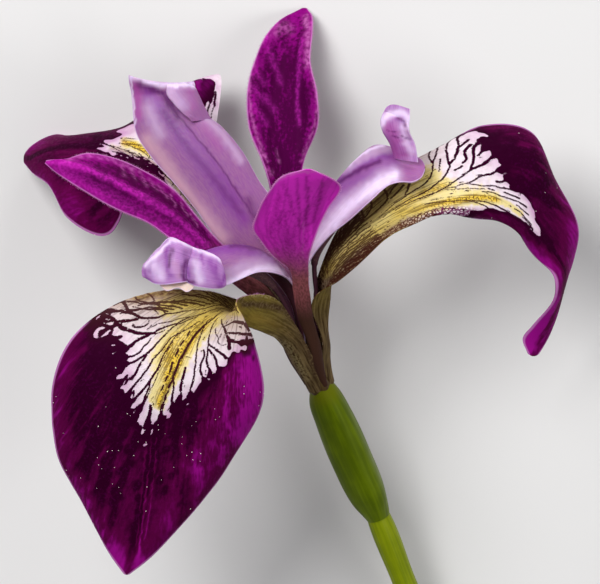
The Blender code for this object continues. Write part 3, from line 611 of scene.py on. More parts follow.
# %% The main veins of each fall
FALL_MARKS = {
    "front": {
        "seed": 11,
        "low_ends": (20.6, 22.2, 23.8, 25.4, 28.6, 33.0, 38.0, 43.5, 49.0, 54.0),
        "high_ends": (21.6, 23.4, 25.2, 27.4, 31.0, 35.5, 40.0, 44.0, 48.5, 53.0, 57.0),
        "fan_start": 13.0,
        "turn_across": (0.38, 0.55),
        "turn_along": (0.93, 0.50),
        "comb": ((7.0, 19.0), (7.0, 23.5)),
        "white_end": [
            (-14, 25.4), (-8.4, 26.2), (-6.2, 27.8), (-5.4, 30.4), (-3.8, 32.4), (-2.5, 34.8), (-1.1, 36.2),
            (0.0, 38.8), (0.6, 40.2), (2.2, 40.2), (3.3, 37.8), (5.1, 36.2),
            (8.4, 31.9), (9.8, 30.8), (12.9, 30.4), (14.6, 29.4), (17, 27),
        ],
        "claw_end": 22.0,
        "claw_side": 0.36,
        "growth": 0.23,
        "dust": 0.45,
        "net": 0.0,
        "drawn_from": (17.0, 20.5),
    },
    "right": {
        "seed": 23,
        "low_ends": (14.0, 17.0, 20.0, 23.0, 26.0, 29.0, 32.0, 35.0, 38.0, 41.5, 46.0, 51.0),
        "high_ends": (16.0, 20.0, 24.0, 28.0, 32.0, 36.0, 41.0, 47.0),
        "fan_start": 8.0,
        "turn_across": (0.10, 0.14),
        "turn_along": (0.66, 0.84),
        "comb": ((5.0, 18.0), (5.0, 12.0)),
        "white_end": [
            (-13, 35.8), (-10.3, 38.6), (-7.5, 40.2), (-4.9, 40.2), (-3.4, 41.8), (-2.4, 44.0), (-1.2, 46.5),
            (0.2, 49.8), (1.0, 47.0), (1.7, 41.0), (2.6, 36.5), (4.5, 34.0),
        ],
        "claw_end": 28.0,
        "claw_side": 0.40,
        "growth": 0.30,
        "dust": 0.2,
        "net": 1.0,
        "drawn_from": (20.0, 25.0),
    },
    "back": {
        "seed": 37,
        "low_ends": (17.0, 20.0, 23.0, 25.5, 27.5, 29.5, 31.5, 33.5, 35.5, 37.5, 40.0, 43.0, 47.0),
        "high_ends": (17.0, 20.0, 23.0, 26.0, 28.5, 30.5, 32.5, 34.5, 36.5, 38.5, 41.0, 44.0, 48.0),
        "fan_start": 10.0,
        "turn_across": (0.3, 0.25),
        "turn_along": (0.85, 0.6),
        "comb": ((6.0, 22.0), (6.0, 22.0)),
        "white_end": [
            (-14, 20.0), (-6, 21.0), (-4.9, 24.0), (-4.1, 28.0), (-3.2, 32.5), (-2.5, 36.0), (-1.8, 40.5),
            (-0.5, 44.6), (1.5, 44.0), (4, 41.0),
            (7, 37.6), (11, 36.8), (13.5, 38.6), (16, 41.0),
        ],
        "claw_end": 19.0,
        "claw_side": 0.3,
        "growth": 0.04,
        "dust": 0.1,
        "net": 0.0,
        "drawn_from": (12.0, 15.0),
    },
}
CLAW_VEIN = 0.01
COMB_STEP = 0.8
MAIN_VEIN = 0.145
FORK_VEIN = 0.115
THIN_VEIN = 0.08


def between(pair, share):
    return pair[0] + (pair[1] - pair[0]) * share


def main_vein(sign, index, ends, half_at, marks):
    """One main vein from the petal's foot to its margin, and the number of its points on the claw."""
    share = 1 - (index + 0.7) / (len(ends) + 0.4)
    claw_s = np.arange(0.5, marks["fan_start"], VEIN_STEP)
    claw = np.column_stack([sign * share * half_at(claw_s) * 0.95, claw_s])
    depth = index / (len(ends) - 1)
    finish = np.array([sign * half_at(ends[index]), ends[index]])
    start = claw[-1]
    turn = start + (finish - start) * (
        between(marks["turn_across"], depth),
        between(marks["turn_along"], depth),
    )
    return np.vstack([claw, bend_path(start, turn, finish)[1:]]), len(claw)


def fork_off(path, fan_from, share, finish, splay=0.55):
    """A branch that leaves the path at a share of its fan, splayed towards finish, and ends there."""
    at = int(fan_from + (len(path) - 1 - fan_from) * share)
    start = path[at, :2]
    way = path[min(at + 8, len(path) - 1), :2] - path[max(at - 8, 0), :2]
    way = way / max(np.linalg.norm(way), 1e-9)
    straight = finish - start
    reach = np.linalg.norm(straight)
    side = np.array([-way[1], way[0]]) * np.sign(way[0] * straight[1] - way[1] * straight[0])
    turn = start + (way * math.cos(splay) + side * math.sin(splay)) * reach * 0.4
    return bend_path(start, turn, finish)


def comb_branches(sign, span, half_at, rng):
    """Short oblique veins along the claw's margin, as close as the teeth of a comb."""
    teeth = []
    for s in np.arange(span[0], span[1], COMB_STEP):
        root = s + rng.uniform(-0.2, 0.2)
        inner = rng.uniform(0.42, 0.62) * half_at(root)
        outer = rng.uniform(0.88, 1.02) * half_at(root + 1.5)
        lean = (outer - inner) * rng.uniform(0.5, 1.0)
        start, finish = (sign * inner, root), (sign * outer, root + lean)
        turn = (sign * (inner + outer) / 2, root + lean * 0.3)
        teeth.append(with_width(wavering(bend_path(start, turn, finish), rng, 0.08, 0.5), 0.15, 0.10))
    return teeth


def fall_veins(marks, along, half_low, half_high):
    """A fall's main veins and its combs, as points in its sheet with a half width beside each.

    The random generator comes back too, because what is drawn next goes on from it."""
    rng = np.random.default_rng(marks["seed"])
    middle_s = np.arange(0.5, along[-1], VEIN_STEP)
    middle = wavering(np.column_stack([np.zeros_like(middle_s), middle_s]), rng, 0.12)
    veins, combs = [with_width(middle, 0.05, 0.18)], []
    for sign, ends, half, comb in (
        (-1, marks["low_ends"], half_low, marks["comb"][0]),
        (1, marks["high_ends"], half_high, marks["comb"][1]),
    ):
        def half_at(s, half=half):
            return np.interp(s, along, half)

        combs += comb_branches(sign, comb, half_at, rng)
        for index, end in enumerate(ends):
            path, fan_from = main_vein(sign, index, ends, half_at, marks)
            path = wavering(path, rng, 0.12, marks["fan_start"] + 2)
            widths = np.interp(np.arange(len(path)), (0, fan_from, fan_from * 1.5, len(path)), (
                CLAW_VEIN, CLAW_VEIN + 0.02, MAIN_VEIN - 0.03, MAIN_VEIN,
            ))
            veins.append(np.column_stack([path, widths]))
            outer_end = ends[index - 1] if index else end - 1.5
            gap = end - outer_end
            forks = ((0.55, 0.16), (0.28, 0.36), (0.78, 0.5))[: int(np.clip(round(gap / 1.7), 1, 3))]
            for spread, earliest in forks:
                share = rng.uniform(earliest, earliest + 0.2)
                place = end - gap * spread
                finish = np.array([sign * half_at(place), place])
                fork = wavering(fork_off(path, fan_from, share, finish), rng, 0.12, 1.0)
                veins.append(with_width(fork, FORK_VEIN, FORK_VEIN + 0.05))
                veins += side_spurs(fork, rng, 3.4, (0.4, 1.2), THIN_VEIN)
            veins += side_spurs(path[fan_from:], rng, 2.6, (0.4, 1.4), THIN_VEIN + 0.01)
    return veins, combs, rng


def dashes(rng, marks, half_low, half_high, along, count):
    """Short loose strokes between the veins, lying along the fan."""
    strokes = []
    for _ in range(count):
        s = rng.uniform(marks["fan_start"] + 2, marks["fan_start"] + DASH_REACH)
        low, high = -np.interp(s, along, half_low), np.interp(s, along, half_high)
        x = np.clip(rng.normal(0.0, 0.24 * (high - low)), low * 0.9, high * 0.9)
        way = np.array([x * 0.075, 1.0])
        way = way / np.linalg.norm(way)
        length = rng.uniform(0.12, 0.7)
        start = np.array([x, s])
        path = bend_path(start, start + way * length * 0.5, start + way * length)
        strokes.append(with_width(path, rng.uniform(0.05, 0.10), 0.04))
    return strokes


def vein_field(veins, across, along):
    """For each point of the sheet, the nearest vein's half width less the distance to it, in mm."""
    samples = np.vstack(veins)
    tree = kdtree.KDTree(len(samples))
    for index, (x, s, _) in enumerate(samples):
        tree.insert((x, s, 0.0), index)
    tree.balance()
    field = np.empty(across.size)
    widths = samples[:, 2]
    for k, (x, s) in enumerate(zip(across.ravel(), along.ravel())):
        _, index, distance = tree.find((x, s, 0.0))
        field[k] = widths[index] - distance
    return field.reshape(across.shape)


# %% [markdown]
# The boldest veins are not left to a rule. They are drawn, as one draws on tracing paper, in the
# photograph's pixels, and each stroke is then laid on the sheet that lies beneath it. A stroke is one
# line: its half width in mm at both ends, and the places that it passes as x,y.

# %% Drawn veins: the front fall's left half


def stroke(line):
    """A stroke from its line: the words and numbers as they stand, then its places as pairs."""
    parts = line.split()
    head = [part if part.isalpha() else float(part) for part in parts if "," not in part]
    return head + [tuple(map(int, part.split(","))) for part in parts if "," in part]


FRONT_LEFT_STROKES = [
    "0.04 0.09 228,309 205,310 190,312 178,314 166,315",
    "0.11 0.17 166,315 160,318 150,319 141,318 134,315 128,311",
    "0.18 0.20 128,311 126,306 121,303 112,304",
    "0.15 0.22 134,315 125,313 117,312 108,314",
    "0.10 0.12 166,315 161,309 155,305 149,304 143,303 138,301 135,298",
    "0.12 0.09 155,305 154,301 151,297 147,294",
    "0.09 0.13 155,305 148,305 141,305 133,303 123,302",
    "0.07 0.05 176,308 170,308 165,307 161,303",
    "0.04 0.10 222,310 212,312 197,317 185,321 176,325 168,327 160,330",
    "0.12 0.22 160,330 154,333 147,334 139,334 132,332 124,329 115,325",
    "0.14 0.25 152,334 146,337 139,340 132,345 126,349 119,354",
    "0.05 0.05 190,318 180,320 170,323 163,324 157,325 153,327 147,330",
    "0.05 0.06 165,331 158,334 152,335",
    "0.07 0.10 149,320 149,323 146,326 140,328 135,328 133,326",
    "0.15 0.20 138,320 132,321 125,322 118,323",
    "0.04 0.07 205,315 195,319 185,323 178,326 172,329",
    "0.08 0.14 172,329 167,334 160,341 154,348 148,353 141,358 134,362 127,365",
    "0.07 0.12 151,339 149,343 144,347 140,352 134,356 127,357 121,354",
    "0.12 0.16 147,354 145,358 141,364 137,371 132,379",
    "0.04 0.09 200,323 190,329 181,334 173,338 168,343 161,352 153,360",
    "0.10 0.15 153,360 147,370 141,378 134,386 128,395",
    "0.05 0.09 178,336 172,343 166,352 162,360",
    "0.11 0.16 162,360 157,371 151,380 146,387 138,395 130,404",
    "0.04 0.06 174,343 168,352 164,361 159,371 156,380 151,390 147,398 142,405",
    "0.09 0.18 151,380 150,386 147,393 145,399 140,407",
    "0.18 0.34 151,405 150,413 148,421 147,434",
    "0.18 0.34 163,404 160,416 159,428",
    "0.20 0.30 124,329 117,323 110,319 103,317",
    "0.18 0.25 119,326 110,329 101,334",
    "0.12 0.22 113,330 106,327 99,325 92,325",
    "0.12 0.24 122,337 113,339 104,341 96,345",
    "0.12 0.24 126,346 117,348 108,351 101,356",
    "0.10 0.18 112,315 104,313 97,313",
    "0.10 0.20 117,322 108,323 100,321",
    "0.16 0.22 128,349 122,345 116,342 108,342",
    "0.12 0.20 117,312 110,311 102,311",
    "0.10 0.07 155,311 158,315",
    "0.06 0.05 133,308 140,309",
    "0.06 0.05 141,381 144,379",
    "0.11 0.09 134,391 134,396",
    "0.07 0.05 153,401 154,405",
]

# %% Drawn veins: the front fall's midrib and right half
FRONT_RIGHT_STROKES = [
    "0.05 0.13 224,313 214,320 206,326",
    "0.17 0.15 206,326 199,333 193,340 188,347 184,355 180,362 176,371 172,381",
    "0.15 0.16 172,381 168,391 164,402 160,415 157,425 154,438",
    "0.10 0.08 190,333 188,337",
    "0.10 0.09 184,342 181,347",
    "0.11 0.10 179,350 176,357",
    "0.13 0.12 173,363 171,372",
    "0.12 0.10 168,376 166,381",
    "0.10 0.08 164,385 162,390",
    "0.05 0.09 212,320 205,327 202,334 199,343 197,353 196,363 195,374",
    "0.10 0.15 195,374 193,383 189,395",
    "0.04 0.08 218,320 213,327 210,335 209,345 208,354",
    "0.10 0.17 208,354 207,361 209,368 212,374 216,381",
    "0.09 0.15 204,351 205,356 202,363 201,370 202,376 207,384",
    "0.10 0.16 209,345 213,348 217,351 222,354 227,358",
    "0.10 0.16 209,350 213,355 216,360 218,366 223,372",
    "0.05 0.05 216,330 216,335 219,339 219,344 223,346 227,345",
    "0.05 0.22 222,321 222,325 225,329 227,335 229,341 230,349",
    "0.07 0.06 240,306 237,309 232,314",
    "0.10 0.10 231,314 237,314 242,312 246,316",
    "0.13 0.24 225,328 229,326 234,323 240,323 246,325 250,329",
    "0.13 0.18 228,334 236,334 243,334 252,335",
    "0.22 0.30 229,341 240,342 253,341",
    "0.06 0.05 234,318 232,319",
    "0.07 0.06 240,327 242,328",
    "0.09 0.15 174,377 174,386 173,396 171,409",
    "0.13 0.20 186,368 184,376 182,384 181,392 178,401",
    "0.06 0.05 186,357 191,359",
]

# %% Drawn veins: the right and the back fall
RIGHT_STROKES = [
    "0.05 0.09 380,218 392,207 404,198 414,191 422,187 427,182 431,177 433,170",
    "0.10 0.11 433,170 434,163 436,158 438,152 440,147 444,146",
    "0.10 0.10 433,165 430,161 430,155 429,150",
    "0.05 0.10 384,218 400,206 412,199 424,193 432,188 440,182 446,175 450,167",
    "0.11 0.12 450,167 448,160 447,152 448,147 450,143 454,139 460,135",
    "0.13 0.17 450,165 454,161 457,155 459,150 463,147 469,142",
    "0.11 0.12 459,150 459,144 459,138 460,133",
    "0.04 0.09 396,211 410,203 422,198 436,193 445,188 455,182 463,176 470,171",
    "0.12 0.20 470,171 478,167 485,164 490,160 496,155",
    "0.11 0.20 470,171 472,165 474,157 474,150 477,146 482,140",
    "0.12 0.17 463,164 466,160 465,155 467,151 471,147",
    "0.12 0.11 455,171 459,169 462,167",
    "0.10 0.14 478,157 482,152 485,147 490,144",
    "0.04 0.06 420,200 432,195 442,190 455,187 465,184 473,185 482,186 492,186",
    "0.06 0.10 492,186 500,188 507,189 516,190",
    "0.07 0.16 466,184 472,182 478,178 484,176 491,174 497,171 504,168",
    "0.14 0.11 496,182 501,182 506,179",
    "0.03 0.04 445,190 455,190 465,189 475,189 484,189",
    "0.08 0.06 488,189 494,191",
    "0.05 0.10 482,192 492,193 500,196 507,198 513,200 519,203 526,207",
    "0.06 0.11 503,192 510,195 519,198",
    "0.05 0.07 425,205 437,203 448,202 460,201 472,201 483,202 490,204 496,206",
    "0.10 0.11 496,206 503,210 510,214 517,219 524,225 531,233 538,242",
    "0.06 0.07 470,202 480,204 488,208 495,212 501,215",
    "0.08 0.11 505,216 512,219 518,224 524,230 530,237",
    "0.05 0.08 516,205 521,209 528,215",
    "0.06 0.08 516,210 520,213 526,219 531,225",
    "0.06 0.08 522,217 527,222 532,229",
    "0.14 0.10 410,184 408,190 405,197",
    "0.14 0.10 404,186 400,191 392,199",
    "0.14 0.10 398,184 394,189 391,194",
    "0.15 0.10 385,190 388,195 388,200 384,205 377,212",
    "0.14 0.10 371,201 373,206 370,212 364,221",
    "0.14 0.10 362,211 364,217 363,223 357,231",
    "0.14 0.10 355,216 357,222 354,228 347,239",
    "0.14 0.10 347,222 349,228 345,236 340,246",
    "0.10 0.07 424,166 425,171 424,175",
    "0.09 0.07 441,161 440,166 439,172",
]
BACK_STROKES = [
    "0.05 0.04 122,139 136,140",
    "0.04 0.04 128,144 136,146 145,148",
    "0.05 0.04 120,144 128,146 140,151 149,158",
    "0.05 0.05 110,146 119,149 128,152 137,156 147,163",
    "0.05 0.05 104,144 113,148 122,153 132,159 143,166",
    "0.05 0.05 140,155 146,160 152,165 160,172",
    "0.07 0.05 112,152 128,157 145,167 160,179 175,194",
    "0.06 0.04 128,152 145,161 160,172 175,186 190,204",
    "0.04 0.03 150,160 165,172 180,186 194,203 207,221",
    "0.08 0.06 151,157 147,166",
    "0.08 0.06 159,165 154,173",
    "0.08 0.06 167,173 162,181",
    "0.08 0.06 175,182 170,190",
    "0.08 0.06 183,192 178,199",
    "0.08 0.06 191,203 186,210",
    "0.05 0.10 200,118 204,106 208,95 211,84",
    "0.04 0.08 205,118 209,106 213,93",
    "0.04 0.06 211,117 214,104 216,92",
    "0.03 0.08 197,112 201,102 205,91",
    "0.08 0.05 201,95 204,90 207,85",
    "0.08 0.05 206,114 208,110 210,105",
    "0.07 0.05 202,110 204,106",
    "0.04 0.05 211,120 212,116",
    "0.04 0.06 199,101 201,97 204,92",
    "0.07 0.05 209,97 211,92 213,86",
]
AWAY_PENALTY_PX = 4.0
THORNY_STEPS = 30
LEAST_RUN_MM = 0.05
STROKE_MORE = 0.02
FALL_STROKES = {
    "front": FRONT_LEFT_STROKES + FRONT_RIGHT_STROKES,
    "right": RIGHT_STROKES,
    "back": BACK_STROKES,
}
print("strokes drawn by eye:", {side: len(strokes) for side, strokes in FALL_STROKES.items()})


def slopes(values, i, j):
    """How values on a grid change there from row to row and from column to column."""
    return (values[i + 1, j] - values[i - 1, j]) / 2, (values[i, j + 1] - values[i, j - 1]) / 2


def laid_stroke(pixels, photo, sheet, facing):
    """A stroke's pixels moved to the sheet that the camera sees beneath them, and joined by a curve."""
    places = []
    for pixel in np.array(pixels):
        gap = np.linalg.norm(photo - pixel, axis=2) + np.where(facing, 0.0, AWAY_PENALTY_PX)
        i, j = np.unravel_index(gap.argmin(), gap.shape)
        i, j = np.clip(i, 1, photo.shape[0] - 2), np.clip(j, 1, photo.shape[1] - 2)
        seen = np.column_stack(slopes(photo, i, j))
        step = np.clip(np.linalg.lstsq(seen, pixel - photo[i, j], rcond=None)[0], -1.0, 1.0)
        by_row, by_column = slopes(sheet, i, j)
        places.append(sheet[i, j] + by_row * step[0] + by_column * step[1])
    places = np.array(places)
    runs = np.maximum(np.linalg.norm(np.diff(places, axis=0), axis=1), LEAST_RUN_MM)
    knots = np.concatenate([[0.0], np.cumsum(runs)])
    count = max(3, int(knots[-1] / VEIN_STEP))
    return through_knots(knots, places, np.linspace(0.0, knots[-1], count))


def drawn_veins(strokes, grid, across, along, rng):
    """The strokes of a fall as veins of its sheet, with small thorns off the longer ones."""
    photo, sheet = photo_place(grid), np.stack([across, along], axis=-1)
    to_camera = np.array(CAMERA_AIM) + np.array([0.0, 0.0, CAMERA_AWAY_MM]) - grid
    facing = (surface_normals(grid) * to_camera).sum(axis=2) > 0
    veins = []
    for start, finish, *pixels in map(stroke, strokes):
        path = wavering(laid_stroke(pixels, photo, sheet, facing), rng, 0.05, 0.4)
        veins.append(with_width(path, start + STROKE_MORE, finish + STROKE_MORE))
        if len(path) > THORNY_STEPS:
            veins += side_spurs(path, rng, 2.4, (0.25, 0.8), 0.05)
    return veins


# %% [markdown]
# Broad colours, and some painted light and shade, are laid on in the same way, with a soft brush: a
# layer, how strongly it covers, half the brush's width in pixels and the pixels that it passes. A
# material then gives each layer its colour.

# %% Brush strokes on the falls
BRUSHED = {}
BRUSHED["fall_front"] = [
    "gold 0.9 7.0 216,314 203,326 190,343 180,360 172,376",
    "gold 0.9 4.5 172,376 165,390 159,404",
    "gold 0.62 17.0 210,312 192,328 178,342 168,358",
    "gold 0.5 9.0 172,356 164,374 157,396",
    "gold 0.35 6.0 205,315 188,325 174,337 165,350",
    "gold 0.7 5.0 185,306 205,306 225,306 238,308",
    # The brown band at the top of the claw is partly its own brown and partly painted shade under the front
    # style arm.
    "brown 0.95 5.0 138,299 155,295 175,292 200,289 225,290 240,297",
    "brown 0.4 7.0 160,303 180,300 205,299 230,302",
    "gold 0.75 8.0 165,309 185,303 210,302 235,306",
    "brown 0.35 5.0 112,305 128,301 145,301",
    # The lit strokes are painted highlights on the velvet, where light falls on the blade.
    "lit 1.0 14.0 247,347 256,372 250,405 238,432",
    "lit 0.9 20.0 235,372 226,400 210,440 195,465",
    "lit 0.30 14.0 66,360 56,395 62,440",
    "lit 0.22 26.0 110,390 105,440 120,500",
    "lit 0.45 9.0 75,480 100,530 124,568 140,562",
    "lit 0.35 10.0 180,480 165,520",
    "lit 0.75 1.0 152,436 150,462 145,500 141,535 138,566",
    "lit 0.6 0.9 157,438 155,465 151,500 145,540",
    "lit 0.5 0.9 147,440 144,470 140,510 136,545",
    "gold 0.8 4.5 252,317 266,320 280,325 291,336",
    "brown 0.9 4.0 243,304 262,304 283,309 298,322 308,345 316,372",
    "pale 0.7 1.5 238,297 250,295 268,296 280,300",
    "pale 0.6 1.4 250,328 262,333 276,335 283,343",
    "pale 0.35 4.0 286,342 296,358 306,376",
]
BRUSHED["fall_right"] = [
    "gold 0.9 5.0 362,238 380,226 400,215 425,208 450,202 475,198 495,199",
    "gold 0.7 6.0 392,212 412,200 430,191 446,185",
    "gold 0.3 12.0 372,226 400,209 430,195 455,192 480,195",
    "gold 0.5 3.5 495,199 510,206 520,214",
    "gold 1.0 9.0 328,268 342,252 358,238 378,225",
    "gold 0.6 9.0 372,207 393,193 414,183 432,176",
    # These brown strokes are partly the claw's own brown and partly painted shade under the right style arm.
    "brown 0.65 3.5 328,256 343,236 358,218 376,203 393,190 408,181",
    "brown 0.6 4.0 330,290 345,272 362,258 380,247 400,237 415,230",
    "pale 0.75 5.5 338,256 352,240 370,227 388,217",
    "blade 0.9 3.0 458,134 468,130 480,127 492,126",
    # The lit strokes are painted highlights.
    "lit 0.35 10.0 545,130 560,175 573,225 568,275",
    "lit 0.9 9.0 548,300 536,330 528,348",
    "lit 0.5 5.0 490,222 512,232 532,252 545,270",
]
BRUSHED["fall_back"] = [
    "gold 1.0 4.0 125,143 138,147 150,155",
    "brown 0.7 3.0 112,149 128,153 147,163 160,174 175,188 192,210 210,233",
    "blade 0.25 6.0 199,97 206,87 212,78 216,68",
    # The lit strokes are painted highlights.
    "lit 0.9 9.0 196,100 204,88 212,72",
    "pale 0.35 2.0 112,146 128,150 147,160 160,171 175,185 192,207 210,230",
    "lit 0.2 8.0 45,150 60,150 85,157",
    "lit 0.2 7.0 70,190 78,215 95,232 115,225",
]

# %% Brush strokes on the standards
BRUSHED["standard_front"] = [
    "dark 0.55 1.6 283,182 289,195 293,213",
    "dark 0.55 1.6 297,178 298,198 299,225",
    "dark 0.60 2.0 306,176 307,198 306,224",
    "dark 0.60 2.4 322,182 319,200 313,222",
    "dark 0.35 5.0 285,215 284,235 292,252",
    "light 0.6 4.0 283,178 270,195 263,213 258,235",
    "light 0.5 3.0 302,176 302,190",
    "light 0.5 3.0 313,176 313,200 309,220",
    "light 0.5 3.0 330,184 338,190",
    "fleck 0.85 1.3 276,182 284,176 300,171 318,171",
    "fleck 0.45 0.8 303,222 303,245 302,262",
    "fleck 0.6 1.2 272,250 280,258 286,266 289,277",
]
# On the left standard the light strokes along the ridge of its fold are a painted highlight and the dark
# strokes just above the ridge are painted shade: the fold's upper half is painted darker, its lower half
# lighter.
BRUSHED["standard_left"] = [
    "light 0.6 2.4 48,163 62,163 80,167 95,173 108,179 125,188 140,196",
    "light 0.6 3.2 140,196 155,205 170,214 183,224 196,236 207,247",
    "light 0.5 8.0 60,170 80,180 100,191 125,205 150,219 180,238 200,254",
    "dark 0.55 3.0 118,202 140,214 165,230 185,244",
    "dark 0.6 7.0 115,168 140,180 165,198 190,222",
    "fleck 0.40 2.6 68,161 78,157 92,156 107,158 121,163 133,169",
    "dark 0.9 4.5 97,167 112,173 130,182 150,192 165,200 180,211 193,226",
    "fleck 0.4 1.8 122,167 124,177",
    "fleck 0.4 1.8 130,169 135,180",
    "fleck 0.4 1.8 139,172 146,186",
    "fleck 0.4 1.8 150,179 156,191",
    "fleck 0.4 1.8 159,186 167,199",
    "fleck 0.5 1.2 170,195 174,206",
    "fleck 0.5 1.3 180,203 187,216",
    "fleck 0.5 1.3 190,214 197,226",
    "fleck 0.3 1.6 163,182 182,198 200,220 212,238",
]
BRUSHED["standard_back"] = [
    "dark 0.8 7.0 290,50 288,90 289,130 292,165",
    "dark 0.8 4.0 308,85 308,105 306,125",
    "light 0.4 2.2 303,40 300,60 299,82 298,105 300,125",
    "fleck 0.9 3.0 306,18 309,32 308,48 308,66",
    "fleck 0.5 5.0 274,32 282,27 289,30",
    "fleck 0.55 1.6 268,28 258,48 250,75 249,97 252,118 258,140 264,158",
    "fleck 0.55 1.6 311,72 317,95 318,110 314,128 306,147 301,162",
    "light 0.25 3.0 254,72 264,84",
    "light 0.25 3.0 253,88 264,102",
    "light 0.25 3.0 265,98 274,112",
    "light 0.25 3.0 254,106 266,124",
    "light 0.25 3.0 274,66 281,84",
    "light 0.25 3.0 268,50 274,66",
    "fleck 0.55 1.6 262,154 267,162",
    "fleck 0.5 2.2 263,167 271,174",
    "fleck 0.4 1.2 275,150 278,163",
]

# %% Brush strokes on the style arms
BRUSHED["arm_back"] = [
    "cream 0.85 7.5 148,140 160,155 180,183 202,212 222,238",
    "white 0.30 7.0 149,108 154,122 160,134",
    "violet 0.9 8.0 148,92 160,108 173,127 190,149 208,172 226,196 244,220",
    "purple 0.40 3.5 164,112 175,130 188,148 202,164 220,186 240,212",
    "violet 0.6 3.5 186,128 198,143 210,158 224,178 240,202",
    "purple 0.85 1.0 176,114 184,123 193,133 203,145 214,158 226,175 240,196 254,218",
    "magenta 1.0 4.5 137,85 138,95 139,106 140,116",
    "white 0.95 3.2 131,76 140,79 150,82 161,85 176,85 192,84",
    # This purple stroke is a painted shadow where the crest's left edge overhangs the arm.
    "purple 0.9 3.4 140,84 150,88 157,90 162,93 166,99 171,107 178,117",
    "white 0.7 1.1 131,78 132,92 134,107 136,124",
    "magenta 0.35 6.0 196,106 206,128 218,146",
    "purple 0.6 5.0 248,200 256,222 264,246",
    "white 0.30 5.0 205,118 222,134 240,160",
]
BRUSHED["crest_back"] = [
    "white 0.35 9.0 170,95 180,105",
    "violet 0.30 4.0 178,90 184,104",
    "magenta 0.45 4.0 190,92 193,108",
    "white 0.95 3.0 160,86 176,86 193,85",
    # This purple stroke along the flap's left edge is a painted shadow.
    "purple 0.85 1.6 163,91 167,99 173,108 179,117",
]
BRUSHED["arm_front"] = [
    "violet 1.0 7.0 196,255 212,252 228,250 243,250 257,254 269,261 279,270",
    "purple 0.75 2.2 230,247 246,248 259,251 271,258 281,268 287,277",
    "white 0.30 6.0 228,274 245,266 262,262",
    "white 1.0 4.5 226,286 240,277 255,271 268,268 280,271 288,280 291,290",
]
BRUSHED["crest_front"] = [
    # This cream stroke is a painted shade, a pinkish grey patch on the crest.
    "cream 0.30 4.0 175,264 179,276",
    "white 0.6 6.0 155,266 160,276",
    "white 0.7 4.0 196,262 200,280",
    "purple 0.45 3.0 184,252 186,262",
    "violet 1.0 2.0 226,266 225,278 220,287",
    "violet 0.8 4.5 210,262 214,272 219,283",
    "violet 0.85 3.2 168,246 166,256 167,268 170,276",
    "purple 0.5 1.2 190,250 191,257 187,262",
    "violet 0.8 2.6 187,268 190,276",
    "violet 0.7 1.6 158,262 156,270 158,278",
    "violet 0.85 1.2 202,254 203,264",
    "violet 0.85 1.2 212,257 209,269",
    "violet 0.85 1.2 217,262 215,273",
    "violet 0.8 1.2 153,262 150,272",
    "violet 0.8 1.6 145,268 147,277 154,283 164,284",
    "white 0.9 2.0 146,267 152,259 162,250 170,240 180,241 190,247 203,252 215,256 222,262",
    "purple 1.0 2.0 173,250 170,258 169,266",
    "purple 1.0 2.2 186,262 182,268 182,274 184,279 189,282 194,282",
]
BRUSHED["arm_right"] = [
    "white 0.3 4.0 345,173 360,162 375,154 388,150",
    "violet 0.4 7.0 328,207 348,190 372,176",
    "white 0.9 2.0 334,180 345,169 358,159 370,151 383,147",
    "violet 0.9 3.8 341,181 355,170 368,163 382,158 394,157",
    "purple 1.0 2.4 338,185 346,179 356,173 368,167 380,163",
    "violet 0.55 6.0 345,186 362,177 380,169 394,165",
    # This violet stroke is a painted shadow beside the front standard.
    "violet 0.5 5.0 340,192 330,208 321,224 314,242",
    "magenta 0.35 5.0 396,158 410,157 419,164",
    "magenta 0.35 7.0 408,172 418,173",
    "white 1.0 6.5 309,258 318,243 330,228 345,211 362,197 380,184 394,176",
    "white 0.25 9.0 316,236 330,218 348,202 366,190 384,178",
]
BRUSHED["crest_right"] = [
    "magenta 0.9 8.0 388,127 394,134 397,148",
    "purple 0.30 6.0 388,140 396,150 404,158",
    "magenta 0.8 5.0 390,150 398,156 406,156",
    "white 0.5 3.5 403,127 406,140 412,152",
    "violet 0.5 3.0 388,122 398,121 402,130",
    "white 0.95 3.6 381,128 384,119 390,114 400,112 408,117 411,128",
    "purple 0.9 2.0 397,119 403,121 407,128 410,138",
    "purple 0.9 0.9 393,131 396,132",
    "purple 0.9 0.9 393,136 398,137",
    "purple 0.8 0.8 388,130 390,131",
    "purple 0.8 0.8 402,135 406,138",
]
BRUSH_WAVER_PX, BRUSH_STRAY_PX = 4.0, 1.1


def brushed(name, grid, layers):
    """How strongly each brush layer covers each point of a sheet."""
    photo = photo_place(grid)
    x, y = photo[..., 0] / BRUSH_WAVER_PX, photo[..., 1] / BRUSH_WAVER_PX
    photo = photo + BRUSH_STRAY_PX * np.stack([lattice_noise(x, y, 1), lattice_noise(x, y, 2)], axis=-1)
    cover = {layer: np.zeros(grid.shape[:2]) for layer in layers}
    for layer, strength, half_width, *pixels in map(stroke, BRUSHED.get(name, ())):
        gap = np.full(grid.shape[:2], np.inf)
        for start, finish in zip(pixels, pixels[1:]):
            way = np.subtract(finish, start)
            t = np.clip((photo - start) @ way / (way @ way), 0.0, 1.0)
            gap = np.minimum(gap, np.linalg.norm(photo - start - t[..., None] * way, axis=2))
        amount = strength * np.exp(-((gap / half_width) ** 2))
        cover[layer] = 1 - (1 - cover[layer]) * (1 - amount)
    return cover


print("brush strokes:", {name: len(strokes) for name, strokes in BRUSHED.items()})

# %% [markdown]
# A material is a small network of nodes. A few helpers keep each network short: they add a node, join
# what goes into it and hand back what comes out. The trees for Geometry Nodes share the first of them.

# %% Helpers for materials


